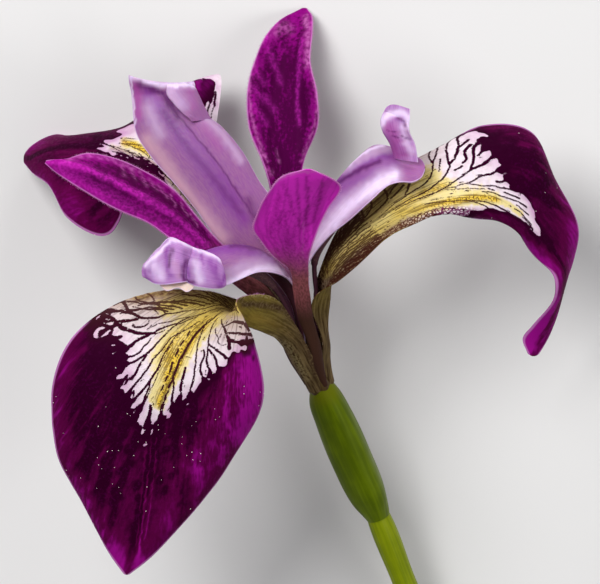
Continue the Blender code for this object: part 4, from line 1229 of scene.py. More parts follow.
class Nodes:
    """A node tree that is built one node at a time."""

    def __init__(self, tree):
        self.tree = tree

    def feed(self, value, socket):
        if isinstance(value, bpy.types.NodeSocket):
            self.tree.links.new(value, socket)
        elif isinstance(value, tuple) and len(value) == 3 and socket.type == "RGBA":
            socket.default_value = (*value, 1.0)
        else:
            socket.default_value = value

    def add(self, kind, sockets=None, **settings):
        """A node with its settings, and with values or links for its sockets by name or number."""
        node = self.tree.nodes.new(kind)
        for key, value in settings.items():
            setattr(node, key, value)
        for key, value in (sockets or {}).items():
            self.feed(value, node.inputs[key])
        return node

    def maths(self, operation, *values):
        """The values taken together, two by two, from the first on."""
        result = values[0]
        for value in values[1:]:
            result = self.add("ShaderNodeMath", {0: result, 1: value}, operation=operation).outputs[0]
        return result

    def plus(self, *values):
        return self.maths("ADD", *values)

    def less(self, *values):
        return self.maths("SUBTRACT", *values)

    def times(self, *values):
        return self.maths("MULTIPLY", *values)

    def step(self, value, low, high, start=0.0, finish=1.0):
        """A smooth step of value from low to high, read as start to finish."""
        sockets = dict(enumerate((value, low, high, start, finish)))
        return self.add("ShaderNodeMapRange", sockets, interpolation_type="SMOOTHSTEP").outputs[0]

    def point(self, *places):
        return self.add("ShaderNodeCombineXYZ", dict(enumerate(places))).outputs[0]


class Network(Nodes):
    """One material's nodes. net["vein"] reads the mesh's attribute of that name."""

    def __init__(self, name):
        self.material = bpy.data.materials.new(name)
        self.material.use_nodes = True
        super().__init__(self.material.node_tree)
        self.shader = self.tree.nodes["Principled BSDF"]
        self.read = {}

    def __getitem__(self, name):
        if name not in self.read:
            node = self.add("ShaderNodeAttribute", attribute_name=name)
            self.read[name] = node.outputs["Fac"]
        return self.read[name]

    @property
    def place(self):
        return self.add("ShaderNodeTexCoord").outputs["Object"]

    def most(self, *values):
        return self.maths("MAXIMUM", *values)

    def sway(self, noise, amount):
        """Noise as a value to both sides of 0."""
        return self.times(self.less(noise, 0.5), amount)

    def mix(self, share, first, second):
        sockets = {0: share, 6: first, 7: second}
        return self.add("ShaderNodeMix", sockets, data_type="RGBA").outputs[2]

    def noise(self, place, scale, detail=2.0):
        sockets = {"Vector": place, "Scale": scale, "Detail": detail}
        return self.add("ShaderNodeTexNoise", sockets).outputs["Fac"]

    def fibres(self, across_scale, along_scale, detail=2.0, places=("fan", "radial")):
        """Noise drawn out along the petal, by its places across and along."""
        across, along = (self[name] for name in places)
        place = self.point(self.times(across, across_scale), self.times(along, along_scale))
        return self.noise(place, 1.0, detail)

    def cells(self, place, scale, feature="F1"):
        """How far each point is from its cell's centre, or from the cells' borders."""
        sockets = {"Vector": place, "Scale": scale}
        return self.add("ShaderNodeTexVoronoi", sockets, feature=feature).outputs["Distance"]

    def bump(self, height, distance_mm, strength):
        sockets = {"Strength": strength, "Distance": distance_mm * MM, "Height": height}
        self.feed(self.add("ShaderNodeBump", sockets).outputs["Normal"], self.shader.inputs["Normal"])

    def surface(self, colour, roughness, **constants):
        """Finish the material; constants are the shader's own sockets by name."""
        for key, value in {"Base Color": colour, "Roughness": roughness, **constants}.items():
            self.feed(value, self.shader.inputs[key.replace("_", " ")])
        return self.material


# %% [markdown]
# The fall's finish is velvet. Its upper face is a layer of small domed cells that drink the light, so
# the purple is almost black where it faces you and glows where it turns away. That glow is partly the
# blade's own streaks and partly painted into the colour: painted sheen along the margins and painted
# highlights where the lit strokes lie, with only a trace of real sheen from the shader. White and
# yellow ground shows between the veins, and the outside of the claw is an olive brown.

# %% Finish of the falls
WHITE_GROUND, SHADED_WHITE, PINK_EDGE = (0.71, 0.61, 0.67), (0.34, 0.22, 0.26), (0.42, 0.13, 0.36)
CREAM_GROUND, YELLOW_GROUND = (0.70, 0.58, 0.26), (0.66, 0.44, 0.045)
CLAW_GOLD, CLAW_PALE = (0.62, 0.48, 0.13), (0.70, 0.58, 0.22)
CLAW_TAN, CLAW_BROWN = (0.30, 0.20, 0.075), (0.12, 0.055, 0.025)
CLAW_VEIN_COLOUR = (0.050, 0.013, 0.008)
NET_BROWN, NET_PURPLE = (0.10, 0.035, 0.018), (0.13, 0.006, 0.075)
DEEP_PURPLE, ROYAL_PURPLE = (0.022, 0.0002, 0.011), (0.080, 0.001, 0.038)
BRIGHT_MAGENTA, PALE_RIM = (0.27, 0.004, 0.20), (0.44, 0.15, 0.40)


def velvet(net, cells):
    """The blade's purple: near black, magenta in its streaks and its painted sheen, with a pale rim."""
    streaks, strands = net.fibres(5.0, 0.16, 3.0), net.fibres(40.0, 0.55, 3.0)
    # glow is partly the blade's own streaks and partly painted light: painted sheen at the margins and
    # painted highlights from the lit strokes.
    glow = net.plus(
        net.step(streaks, 0.30, 0.70, 0.03, 0.19),
        net.step(strands, 0.30, 0.70, -0.02, 0.16),
        net.step(net["margin"], 7.0, 0.2, -0.22, 0.30),
        net.step(net["line"], -0.75, -0.05, 0.12, -0.22),
        net.times(net["lit"], net.step(strands, 0.30, 0.70, 0.73, 0.95)),
    )
    purple = net.mix(net.step(glow, -0.1, 0.45), DEEP_PURPLE, ROYAL_PURPLE)
    purple = net.mix(net.step(glow, 0.4, 1.1), purple, BRIGHT_MAGENTA)
    # The cells add faint painted glints of magenta.
    purple = net.mix(net.step(cells, 0.52, 0.72, 0.0, 0.06), purple, BRIGHT_MAGENTA)
    return net.mix(net.step(net["margin"], 0.50, 0.22, 0.0, 0.85), purple, PALE_RIM)


def fall_ground(net, grain):
    """The ground between the veins: white, cream, yellow, tan on the claw and a net by its margin."""
    claw = net["claw"]
    warm = net.plus(net["gold"], net.sway(grain, 0.5))
    mottled = net.step(net.noise(net.place, 900.0, 3.0), 0.42, 0.68, 0.0, 0.25)
    ground = net.mix(mottled, WHITE_GROUND, SHADED_WHITE)
    ground = net.mix(net.step(warm, 0.05, 0.40), ground, CREAM_GROUND)
    ground = net.mix(net.step(warm, 0.45, 0.95), ground, YELLOW_GROUND)
    claw_ground = net.mix(net.step(warm, 0.1, 0.8), CLAW_TAN, CLAW_GOLD)
    ground = net.mix(net.times(claw, 0.85), ground, claw_ground)
    ground = net.mix(net["brown"], ground, net.mix(net.step(grain, 0.35, 0.65), CLAW_BROWN, CLAW_TAN))
    ground = net.mix(net["pale"], ground, CLAW_PALE)
    ground = net.mix(net.step(net["white_left"], 5.0, -1.0, 0.0, 0.75), ground, PINK_EDGE)
    meshes = net.point(net.times(net["across"], 3.2), net.times(net["radial"], 1.9))
    netted = net.times(net.step(net.cells(meshes, 1.0, "DISTANCE_TO_EDGE"), 0.22, 0.08), net["netted"])
    return net.mix(netted, ground, net.mix(net.step(claw, 0.1, 0.5), NET_PURPLE, NET_BROWN))


def fall_ink(net):
    """Where the ground is inked: by the veins, and by dots and ruled lines too fine to draw."""
    claw, yellow = net["claw"], net["gold"]
    ragged = net.sway(net.noise(net.place, 5200.0), 0.18)
    veins = net.step(net.plus(net["vein"], ragged), -0.04, 0.03)
    dotted = net.times(
        net.step(net.fibres(30.0, 3.4, 1.0), 0.52, 0.60),
        net.step(yellow, 0.4, 1.0), net.step(claw, 0.2, 0.8, 1.0, 0.15),
    )
    ruled = net.times(
        net.step(net.fibres(22.0, 0.10, 1.0), 0.56, 0.62),
        net.step(net["pale"], 0.2, 0.9, 1.0, 0.4), claw,
    )
    hatched = net.times(net.step(net.fibres(45.0, 0.18), 0.51, 0.58), net.step(yellow, 0.25, 0.8, 0.0, 0.8))
    fine = net.times(net.most(dotted, ruled, hatched), 0.85)
    return net.times(net.most(veins, fine), net.step(claw, 0.3, 1.0, 1.0, 0.9))


# %% Finish of the falls' undersides
UNDER_OLIVE = (0.15, 0.105, 0.018), (0.25, 0.19, 0.03)
UNDER_DOT = (0.09, 0.06, 0.012)
UNDER_FOOT = (0.028, 0.014, 0.010), (0.13, 0.085, 0.045)
UNDER_GOLD, UNDER_PALE = (0.30, 0.20, 0.035), (0.42, 0.34, 0.15)
UNDER_BROWN = (0.050, 0.026, 0.014), (0.13, 0.085, 0.04)


def fall_underside(net, cells, grain):
    """The outside of the claw, olive and brown with fine lines, and the plain underside of the blade."""
    lines = net.fibres(9.0, 0.25)
    claw = net.mix(net.step(lines, 0.3, 0.7), *UNDER_OLIVE)
    claw = net.mix(net.step(cells, 0.45, 0.7, 0.0, 0.4), claw, UNDER_DOT)
    claw = net.mix(net.times(net["gold"], 0.7), claw, UNDER_GOLD)
    claw = net.mix(net.times(net["foot"], 0.85), claw, net.mix(net.step(lines, 0.35, 0.65), *UNDER_FOOT))
    claw = net.mix(net["brown"], claw, net.mix(net.step(cells, 0.45, 0.65), *UNDER_BROWN))
    claw = net.mix(net.times(net["pale"], net.step(cells, 0.40, 0.55)), claw, UNDER_PALE)
    blade = net.mix(net.step(grain, 0.35, 0.7), ROYAL_PURPLE, BRIGHT_MAGENTA)
    return net.mix(net["claw"], blade, claw)


def fall_finish():
    net = Network("velvet_fall")
    grain, cells = net.fibres(16.0, 1.6), net.noise(net.place, 2600.0, 1.0)
    purple = velvet(net, cells)
    vein = net.mix(net.most(net["claw"], net.times(net["gold"], 0.6)), DEEP_PURPLE, CLAW_VEIN_COLOUR)
    vein = net.mix(net.most(net.step(net["white_left"], 1.0, -2.5), net["blade"]), vein, purple)
    upper = net.mix(fall_ink(net), fall_ground(net, grain), vein)
    colour = net.mix(net["under"], upper, fall_underside(net, cells, grain))
    net.bump(net.plus(net.times(cells, 0.5), grain), 0.05, 0.6)
    return net.surface(
        colour, net.step(cells, 0.3, 0.8, 0.62, 0.42),
        Sheen_Weight=0.02, Sheen_Roughness=0.35, Sheen_Tint=(0.95, 0.10, 0.80),
        Specular_IOR_Level=0.015, Specular_Tint=(1.0, 0.35, 0.85),
    )


fall_material = fall_finish()
print("fall finish nodes:", len(fall_material.node_tree.nodes))

# %% The falls
FALL_ROWS, FALL_COLUMNS = 341, 221
FALL_DENSE = (0.27, 0.75, 1.7)
FALL_RUFFLE = (0.5, 5)
FALL_THICK, FALL_THIN = 0.55, 0.16
FALL_SEAT_RADIUS = 2.6
FALL_FOOT = [
    (7.6, 1.9, 40, 1.6), (5.6, 2.2, 46, 1.9), (3.4, 2.65, 50, 2.2),
    (1.4, 3.15, 50, 2.6), (-0.4, 3.3, 44, 3.0),
]
DASH_COUNT, DASH_REACH = 120, 36.0
FAN_WIDTH, FAN_WIDENS, FAN_ROOT = 3.0, 0.45, 4.0
RAGGED_MM, TORN_MM, TORN_REACH_MM = 0.8, 1.8, 3.5
RULED_SUNK_MM, BLADE_INK_MM = 3.0, 3.2
WIDENING_FROM, MEETING_FROM, MEETING, FRAYED_MM = 2.7, 0.3, 1.2, 0.16
VEIN_RAISED_MM, VEIN_SOFTNESS = 0.05, 0.03
BROAD_PLEAT_MM, NARROW_PLEAT_MM = 0.30, 0.10
FRINGED = (0.22, 0.34)


def white_left(marks, along, across, fan, radial):
    """How far each point is inside the ragged end of the white, in mm along the petal."""
    seed = marks["seed"]
    white = np.interp(across.ravel(), *zip(*marks["white_end"])).reshape(across.shape) - along
    white = white + lattice_noise(fan * 9, radial * 0.35, seed) * RAGGED_MM
    torn = lattice_noise(fan * 14, radial * 0.9, seed + 6)
    return white + TORN_MM * torn * np.exp(-((white / TORN_REACH_MM) ** 2))


def fall_field(side, grid, along, across, white):
    """The field of a fall's veins: those that grow by rule, and over them the drawn ones."""
    marks, middle = FALL_MARKS[side], along[:, 0]
    half_low, half_high = -across[:, 0], across[:, -1]
    veins, combs, rng = fall_veins(marks, middle, half_low, half_high)
    hidden = smooth(1.0, 3.5, white) * smooth(*marks["drawn_from"], along)
    drawn = combs + drawn_veins(FALL_STROKES[side], grid, across, along, rng)
    drawn += dashes(rng, marks, half_low, half_high, middle, DASH_COUNT)
    ruled = vein_field(veins, across, along) - RULED_SUNK_MM * hidden
    return np.maximum(ruled, vein_field(drawn, across, along))


def pleats(fan, radial, along, length, seed):
    """Soft folds that run out along the fan, in mm out of the sheet."""
    broad = lattice_noise(fan * 2.2 + seed, radial * 0.05, seed) * BROAD_PLEAT_MM
    narrow = lattice_noise(fan * 6.5 + seed, radial * 0.10, seed + 1) * NARROW_PLEAT_MM
    return (broad + narrow) * smooth(16, 34, along) * smooth(length, length - 12, along)


def make_fall(side):
    """One fall: its sheet, the field of its veins, what else its finish reads, and its fine relief."""
    name, marks = "fall_" + side, FALL_MARKS[side]
    grid, share, v, along, across, half = petal_sheet(
        FALL_AZIMUTH[side], FALL_FOOT, FALL_RIBS[side], FALL_SEAT_RADIUS,
        FALL_ROWS, FALL_COLUMNS, FALL_RUFFLE, FALL_DENSE,
    )
    beyond = along - marks["fan_start"]
    fan, radial = across / (FAN_WIDTH + FAN_WIDENS * np.maximum(0.0, beyond)), beyond + FAN_ROOT
    white = white_left(marks, along, across, fan, radial)
    field = fall_field(side, grid, along, across, white)
    paint = brushed(name, grid, ("gold", "brown", "pale", "blade", "lit"))

    frayed = lattice_noise(across * 1.9, along * 1.9, marks["seed"] + 3) * smooth(4.0, 0.5, white)
    vein = field + marks["growth"] * np.maximum(0.0, WIDENING_FROM - white)
    vein = vein + MEETING * np.maximum(0.0, MEETING_FROM - white)
    vein = vein + FRAYED_MM * frayed + BLADE_INK_MM * paint["blade"]
    claw_from = along - np.abs(across) * marks["claw_side"]
    speckle = lattice_noise(across * 0.35, along * 0.35, marks["seed"] + 2)

    raised = VEIN_RAISED_MM * np.exp(-np.minimum(0.0, field) ** 2 / VEIN_SOFTNESS)
    raised = raised * smooth(-2.0, 1.0, white)
    raised = raised + pleats(fan, radial, along, along[-1, 0], marks["seed"])
    grid = grid + surface_normals(grid) * raised[:, :, None]
    if side == "front":
        keep_margins(grid, *(int(FALL_ROWS * share_along) for share_along in FRINGED))

    mesh = piece_mesh(name, *closed_sheet(grid, thin_to_margins(v, share, FALL_THICK, FALL_THIN), {
        "vein": vein, "line": field, "white_left": white, "fan": fan, "radial": radial,
        "claw": smooth(marks["claw_end"] + 5, marks["claw_end"] - 6, claw_from),
        "margin": half - np.abs(across), "foot": smooth(15.0, 1.0, along), "across": across,
        "netted": marks["net"] * smooth(0.45, 0.65, across / half) * smooth(38.0, 34.0, along),
        "dust": marks["dust"] * smooth(-0.5, 1.0, speckle) * smooth(24, 34, along) * smooth(58, 40, along),
        **paint,
    }))
    return finish_piece("petal_" + name, mesh, fall_material, "fall", name)


falls = [make_fall(side) for side in FALL_AZIMUTH]

# %% [markdown]
# The standards are thinner and more satiny than the falls. Their colour is a magenta purple, broken by
# fine darker veins and streaks. Brush strokes add what is dark, light or flecked with white; on the left
# standard the dark and light ones are partly painted shade and painted highlight. Each standard's glow
# is painted light: it paints the front standard far brighter than the left and back ones, and every
# standard lighter towards its margins and its tip.

# %% Finish of the standards
STANDARD_DARK, STANDARD_MID = (0.055, 0.0008, 0.036), (0.21, 0.002, 0.155)
STANDARD_LIGHT, STANDARD_FLECK = (0.56, 0.022, 0.44), (0.42, 0.10, 0.33)
STANDARD_FOOT_RED, STANDARD_TUBE = (0.27, 0.075, 0.085), (0.050, 0.022, 0.014)
STANDARD_RIM = (0.60, 0.22, 0.55)


def standard_finish():
    net = Network("satin_standard")
    foot, grain = net["foot"], net.fibres(14.0, 1.5)
    cells = net.noise(net.place, 2400.0, 1.0)
    # light is the painted glow together with the petal's own streaks and grain.
    light = net.plus(
        net["glow"], net.sway(net.fibres(4.0, 0.22, 3.0), 1.1), net.sway(grain, 0.8), net.sway(cells, 0.5),
    )
    colour = net.mix(net.step(light, 0.0, 0.5), STANDARD_DARK, STANDARD_MID)
    colour = net.mix(net.step(light, 0.5, 1.3), colour, STANDARD_LIGHT)
    rays = net.times(net.step(net.fibres(5.0, 0.05, 1.0), 0.56, 0.66), net["streaked"])
    edged = net.times(net.step(net["margin"], 0.22, 0.04, 0.0, 0.6), net.less(1.0, foot))
    foot_colour = net.mix(net.step(grain, 0.35, 0.65, 0.45, 1.0), STANDARD_TUBE, STANDARD_FOOT_RED)
    for share, coat in (
        (net.times(net.step(net["vein"], -0.16, 0.05), 0.35), STANDARD_DARK),
        (rays, STANDARD_DARK),
        (net.times(net["under"], 0.22), STANDARD_LIGHT),
        (net.times(net["dark"], net.step(grain, 0.3, 0.65, 1.0, 0.6)), STANDARD_DARK),
        (net.times(net["light"], net.step(cells, 0.36, 0.64, 0.5, 1.0)), STANDARD_LIGHT),
        (net.times(net["fleck"], net.step(grain, 0.38, 0.62, 0.3, 1.0)), STANDARD_FLECK),
        (foot, foot_colour),
        (edged, STANDARD_RIM),
        (net["tube"], STANDARD_TUBE),
    ):
        colour = net.mix(share, colour, coat)
    net.bump(net.plus(cells, grain), 0.05, 0.6)
    return net.surface(
        colour, net.step(cells, 0.3, 0.8, 0.55, 0.36),
        Sheen_Weight=0.02, Sheen_Roughness=0.35, Sheen_Tint=(1.0, 0.20, 0.85),
        Specular_IOR_Level=0.02, Specular_Tint=(1.0, 0.40, 0.90),
    )


standard_material = standard_finish()
print("standard finish nodes:", len(standard_material.node_tree.nodes))

# %% The standards
STANDARD_ROWS, STANDARD_COLUMNS = 181, 111
STANDARD_RUFFLE = (0.35, 4)
STANDARD_THICK, STANDARD_THIN = 0.45, 0.16
STANDARD_SEAT_RADIUS = 2.5
WAVE_MM, FINE_WAVE_MM, RIDGE_MM, BEAD_MM = 0.20, 0.07, 0.55, 0.15
FRINGED_FROM, BARE_TIP_ROWS = 0.42, 4
STANDARD_FOOT = [(7.0, 1.85, 12, 1.7), (5.0, 2.2, 16, 2.0), (2.8, 2.65, 18, 2.4), (0.8, 2.95, 17, 2.75)]
# glow is painted light: the front standard is painted much brighter than the left and the back one.
STANDARD_MARKS = {
    "front": {"seed": 51, "glow": 1.02, "foot": (25.0, 14.0), "ridge": 0.0, "streaks": 0.25},
    "left": {"seed": 63, "glow": 0.12, "foot": (22.0, 10.0), "ridge": 1.0, "streaks": 0.1},
    "back": {"seed": 75, "glow": 0.02, "foot": (14.0, 6.0), "ridge": 0.0, "streaks": 0.35},
}


def standard_veins(marks, along, half_low, half_high):
    """Veins that run up the petal side by side, fork once and end along its margins."""
    rng = np.random.default_rng(marks["seed"])
    length = along[-1]
    ends = np.linspace(0.35, 0.97, 7) * length
    rule = {"fan_start": 0.2 * length, "turn_across": (0.5, 0.5), "turn_along": (0.8, 0.55)}
    veins = []
    for sign, half in ((-1, half_low), (1, half_high)):
        def half_at(s, half=half):
            return np.interp(s, along, half)

        for index in range(len(ends)):
            path, fan_from = main_vein(sign, index, ends, half_at, rule)
            path = wavering(path, rng, 0.12, 3.0)
            veins.append(with_width(path, 0.10, 0.08))
            outer = ends[index - 1] if index else ends[0] * 0.8
            place = (ends[index] + outer) / 2
            fork = fork_off(path, fan_from, rng.uniform(0.3, 0.6), np.array([sign * half_at(place), place]))
            veins.append(with_width(wavering(fork, rng, 0.12), 0.07, 0.06))
            veins += side_spurs(path[fan_from:], rng, 2.2, (0.6, 1.6), 0.05)
    return veins


def standard_waves(marks, along, across, fan):
    """Waves, midrib and beads of a standard, in mm out of the sheet."""
    length, seed = along[-1, 0], marks["seed"]
    wave = lattice_noise(fan * 3.0, along * 0.12, seed) * WAVE_MM * smooth(0, 0.3 * length, along)
    fine_wave = lattice_noise(fan * 9.0, along * 0.35, seed + 5) * FINE_WAVE_MM
    wave = wave + fine_wave * smooth(0, 0.2 * length, along)
    ridge = np.exp(-((across / 0.55) ** 2)) * smooth(4, 10, along)
    beads = lattice_noise(across * 1.3, along * 1.1, seed + 9) * smooth(22, 8, along) * smooth(3, 6, along)
    beads = BEAD_MM * beads * np.exp(-(((across + 0.6) / 1.8) ** 2))
    wave = wave + marks["ridge"] * (RIDGE_MM * ridge + beads)
    return wave * smooth(length, 0.85 * length, along)


def make_standard(side):
    """One standard: its sheet with its waves, and what its finish reads."""
    name, marks = "standard_" + side, STANDARD_MARKS[side]
    grid, share, v, along, across, half = petal_sheet(
        STANDARD_AZIMUTH[side], STANDARD_FOOT, STANDARD_RIBS[side], STANDARD_SEAT_RADIUS,
        STANDARD_ROWS, STANDARD_COLUMNS, STANDARD_RUFFLE,
    )
    veins = standard_veins(marks, along[:, 0], -across[:, 0], across[:, -1])
    field, fan = vein_field(veins, across, along), across / (1.5 + 0.16 * along)
    grid = grid + surface_normals(grid) * standard_waves(marks, along, across, fan)[:, :, None]
    keep_margins(grid, int(STANDARD_ROWS * FRINGED_FROM), STANDARD_ROWS - BARE_TIP_ROWS)
    # edge_glow paints light towards the margins and the tip.
    edge_glow = smooth(0.55, 1.0, np.abs(v)) * 0.35 + 0.4 * smooth(0.75, 1.0, share)
    mesh = piece_mesh(name, *closed_sheet(grid, thin_to_margins(v, share, STANDARD_THICK, STANDARD_THIN), {
        "vein": field, "fan": fan, "radial": along, "margin": half - np.abs(across),
        "glow": marks["glow"] + edge_glow, "foot": smooth(*marks["foot"], along),
        "tube": smooth(13.0, 5.0, along), "streaked": np.full_like(along, marks["streaks"]),
        **brushed(name, grid, ("dark", "light", "fleck")),
    }))
    return finish_piece("petal_" + name, mesh, standard_material, "standard", name)


for side in STANDARD_AZIMUTH:
    make_standard(side)

# %% [markdown]
# The style arms are thicker and waxier than the petals, pink lilac with violet and white laid along
# them, and with painted shadows in purple and violet where the back crest overhangs its arm and where
# the right arm lies beside the front standard. At its end each arm carries a crest, a thin upturned
# lobe. Under the front one the stigma's small cream lip shows.

# %% Finish of the style arms
PINK_LILAC, CREST_PALE = (0.29, 0.115, 0.27), (0.42, 0.21, 0.48)
ARM_PAINTS = {
    "cream": (0.52, 0.30, 0.38),
    "violet": (0.20, 0.036, 0.26),
    "magenta": (0.32, 0.06, 0.28),
    "white": (0.78, 0.63, 0.86),
    "purple": (0.09, 0.005, 0.10),
}
RIM_WHITE, LIP_CREAM = (0.66, 0.50, 0.74), (0.66, 0.50, 0.42)
ARM_SEAT_SHADE, ARM_SHADE = (0.15, 0.045, 0.075), (0.10, 0.030, 0.045)


def arm_finish():
    net = Network("waxy_style")
    crest, lip = net["crest"], net["lip"]
    streaks = net.fibres(9.0, 0.15, 3.0, ("side", "along"))
    fine = net.fibres(30.0, 0.8, 2.0, ("side", "along"))
    grain = net.noise(net.place, 2200.0, 1.0)

    colour = net.mix(crest, PINK_LILAC, CREST_PALE)
    colour = net.mix(net.step(fine, 0.35, 0.70, 0.0, 0.45), colour, ARM_PAINTS["violet"])
    unsteady = net.step(net.plus(net.times(streaks, 0.6), net.times(fine, 0.4)), 0.3, 0.6, 0.80, 1.0)
    for layer, paint in ARM_PAINTS.items():
        colour = net.mix(net.times(net[layer], unsteady), colour, paint)
    colour = net.mix(net.step(net["along"], 26.0, 6.0, 0.0, 0.85), colour, ARM_SEAT_SHADE)
    colour = net.mix(lip, colour, LIP_CREAM)
    not_crest = net.less(1.0, net.most(crest, lip))
    colour = net.mix(net.times(net["under"], not_crest), colour, ARM_SHADE)
    rim = net.times(net.step(net["margin"], 0.20, 0.05, 0.0, 0.6), net["rimmed"])
    colour = net.mix(rim, colour, RIM_WHITE)

    net.bump(net.plus(grain, streaks), 0.04, 0.4)
    return net.surface(
        colour, net.step(grain, 0.3, 0.8, 0.5, 0.34),
        Specular_IOR_Level=0.2, Subsurface_Weight=0.10, Subsurface_Scale=0.0012,
    )


arm_material = arm_finish()
print("arm finish nodes:", len(arm_material.node_tree.nodes))

# %% The style arms
SHEET_SIZES = {
    # kind: rows, columns, thickness at the midrib and at the margins in mm
    "arm": (141, 81, 0.55, 0.22),
    "crest": (81, 61, 0.35, 0.15),
    "lip": (41, 15, 0.25, 0.15),
}
ARM_SEAT = (0.75, 36)
FAR_ALONG = 99.0
LIP_RIBS = [
    rib((-20.7, 8.9, 19.3), (-20.7, 8.5, 19.5), (-20.7, 9.4, 19.0)),
    rib((-19.3, 8.4, 19.4), (-19.4, 7.3, 19.8), (-19.2, 9.4, 19.0)),
    rib((-17.8, 8.5, 19.3), (-17.8, 7.7, 19.6), (-17.8, 9.4, 18.9)),
    rib((-16.3, 8.3, 19.6), (-16.4, 7.15, 19.9), (-16.3, 9.3, 19.1)),
    rib((-15.1, 8.8, 19.8), (-15.1, 8.2, 20.0), (-15.2, 9.3, 19.4)),
]


def lifted(grid, height):
    """A grid moved out of its upper face by that many mm at each point."""
    return grid + surface_normals(grid) * height[:, :, None]


def arm_form(kind, side, grid, share, v, along):
    """What ribs alone don't give an arm or a crest: a rolled end, rounded lobes, a fold and a frill."""
    if kind == "arm" and side == "back":
        grid = lifted(grid, 0.9 * smooth(along[-1, 0] - 2.0, along[-1, 0], along))
    if kind != "crest":
        return grid
    if side == "right":
        far, near = np.clip(v, 0, 1), np.clip(-v, 0, 1)
        grid[:, :, 1] += share**4 * (np.sin(math.pi * far) - 0.9 * near**2 + 0.5 * np.sin(math.pi * near))
    if side == "front":
        grid = lifted(grid, -0.45 * np.exp(-(((share - 0.52) / 0.06) ** 2)) * smooth(0.9, 0.2, v))
    return lifted(grid, lattice_noise(v * 4.0, share * 9.0, len(side)) * 0.12 * np.abs(v))


def arm_sheet(kind, side, ribs):
    """One closed sheet of a style arm; kind is arm, crest or lip."""
    rows, columns, thick, thin = SHEET_SIZES[kind]
    grid, share, v = petal_surface(ribs, rows, columns)
    along, across, half = sheet_places(grid)
    grid = arm_form(kind, side, grid, share, v, along)
    blends = kind == "crest" and side == "back"

    def everywhere(value):
        return np.full_like(v, float(value))

    points, faces, attributes = closed_sheet(grid, thin_to_margins(v, share, thick, thin), {
        "side": v, "along": everywhere(FAR_ALONG) if kind == "crest" else along,
        "margin": half - np.abs(across), "crest": everywhere(kind == "crest" and not blends),
        "lip": everywhere(kind == "lip"), "rimmed": everywhere(not blends),
        **brushed(kind + "_" + side, grid, ARM_PAINTS),
    })
    attributes["under"] *= float(kind == "arm")
    return points, faces, attributes


def joined(sheets):
    """Several closed sheets as one mesh's points, faces and attributes."""
    points, faces, start = [], [], 0
    for sheet_points, sheet_faces, _ in sheets:
        points.append(sheet_points)
        faces += [[corner + start for corner in face] for face in sheet_faces]
        start += len(sheet_points)
    attributes = {key: np.concatenate([sheet[2][key] for sheet in sheets]) for key in sheets[0][2]}
    return np.concatenate(points), faces, attributes


def make_arm(side):
    name = "style_arm_" + side
    ribs = [seat_rib(FALL_AZIMUTH[side], *ARM_SEAT)] + ARM_RIBS[side]
    sheets = [arm_sheet("arm", side, ribs), arm_sheet("crest", side, CREST_RIBS[side])]
    if side == "front":
        sheets.append(arm_sheet("lip", side, LIP_RIBS))
    return finish_piece("petal_" + name, piece_mesh(name, *joined(sheets)), arm_material, "style", name)


for side in FALL_AZIMUTH:
    make_arm(side)

# %% [markdown]
# What follows a path or repeats is made by Geometry Nodes. A class builds a tree node by node, and a
# function runs it: it sets the named inputs, lets Blender evaluate the tree, and keeps the plain mesh
# that comes out.

# %% Helpers for Geometry Nodes


class Growth(Nodes):
    """One Geometry Nodes tree; inputs are (name, socket type, value) after the geometry itself."""

    def __init__(self, name, *inputs):
        super().__init__(bpy.data.node_groups.new(name, "GeometryNodeTree"))
        face = self.tree.interface
        face.new_socket("Geometry", in_out="INPUT", socket_type="NodeSocketGeometry")
        for label, kind, value in inputs:
            face.new_socket(label, in_out="INPUT", socket_type="NodeSocket" + kind).default_value = value
        face.new_socket("Geometry", in_out="OUTPUT", socket_type="NodeSocketGeometry")
        self.given = self.tree.nodes.new("NodeGroupInput").outputs

    def geometry(self, kind, sockets=None, **settings):
        """The first output of a Geometry Nodes node."""
        return self.add("GeometryNode" + kind, sockets, **settings).outputs[0]

    def stored(self, name, kind="FLOAT"):
        node = self.add("GeometryNodeInputNamedAttribute", {"Name": name}, data_type=kind)
        return node.outputs["Attribute"]

    def store(self, geometry, name, value, kind="FLOAT"):
        sockets = {"Geometry": geometry, "Name": name, "Value": value}
        return self.geometry("StoreNamedAttribute", sockets, data_type=kind)

    def vector(self, operation, sockets):
        return self.add("ShaderNodeVectorMath", sockets, operation=operation).outputs[0]

    def random(self, low, high):
        sockets = {2: low, 3: high, "Seed": self.given["Seed"]}
        return self.add("FunctionNodeRandomValue", sockets).outputs[1]

    def finish(self, geometry, material):
        real = self.geometry("RealizeInstances", {"Geometry": geometry})
        dressed = self.geometry("SetMaterial", {"Geometry": real, "Material": material})
        self.tree.links.new(dressed, self.tree.nodes.new("NodeGroupOutput").inputs[0])
        return self.tree


def grown(name, mesh, tree, **values):
    """The plain mesh that a tree makes from a mesh; values are the tree's inputs by name."""
    carrier = placed(name, mesh)
    modifier = carrier.modifiers.new(name, "NODES")
    modifier.node_group = tree
    for socket in tree.interface.items_tree:
        if socket.in_out == "INPUT" and socket.name.replace(" ", "_") in values:
            modifier[socket.identifier] = values[socket.name.replace(" ", "_")]
    seen = carrier.evaluated_get(bpy.context.evaluated_depsgraph_get())
    result = bpy.data.meshes.new_from_object(seen)
    bpy.data.objects.remove(carrier)
    return result


# %% [markdown]
# The tube, ovary, stem and stamens are stalks: a line and a radius along it. The tree sweeps a circle
# along the line and then moves each point out or in round its own centre, which gives the ovary its
# three ribs and the anthers their two sacs.

# %% The tree for stalks
RIB_FADE = 0.12


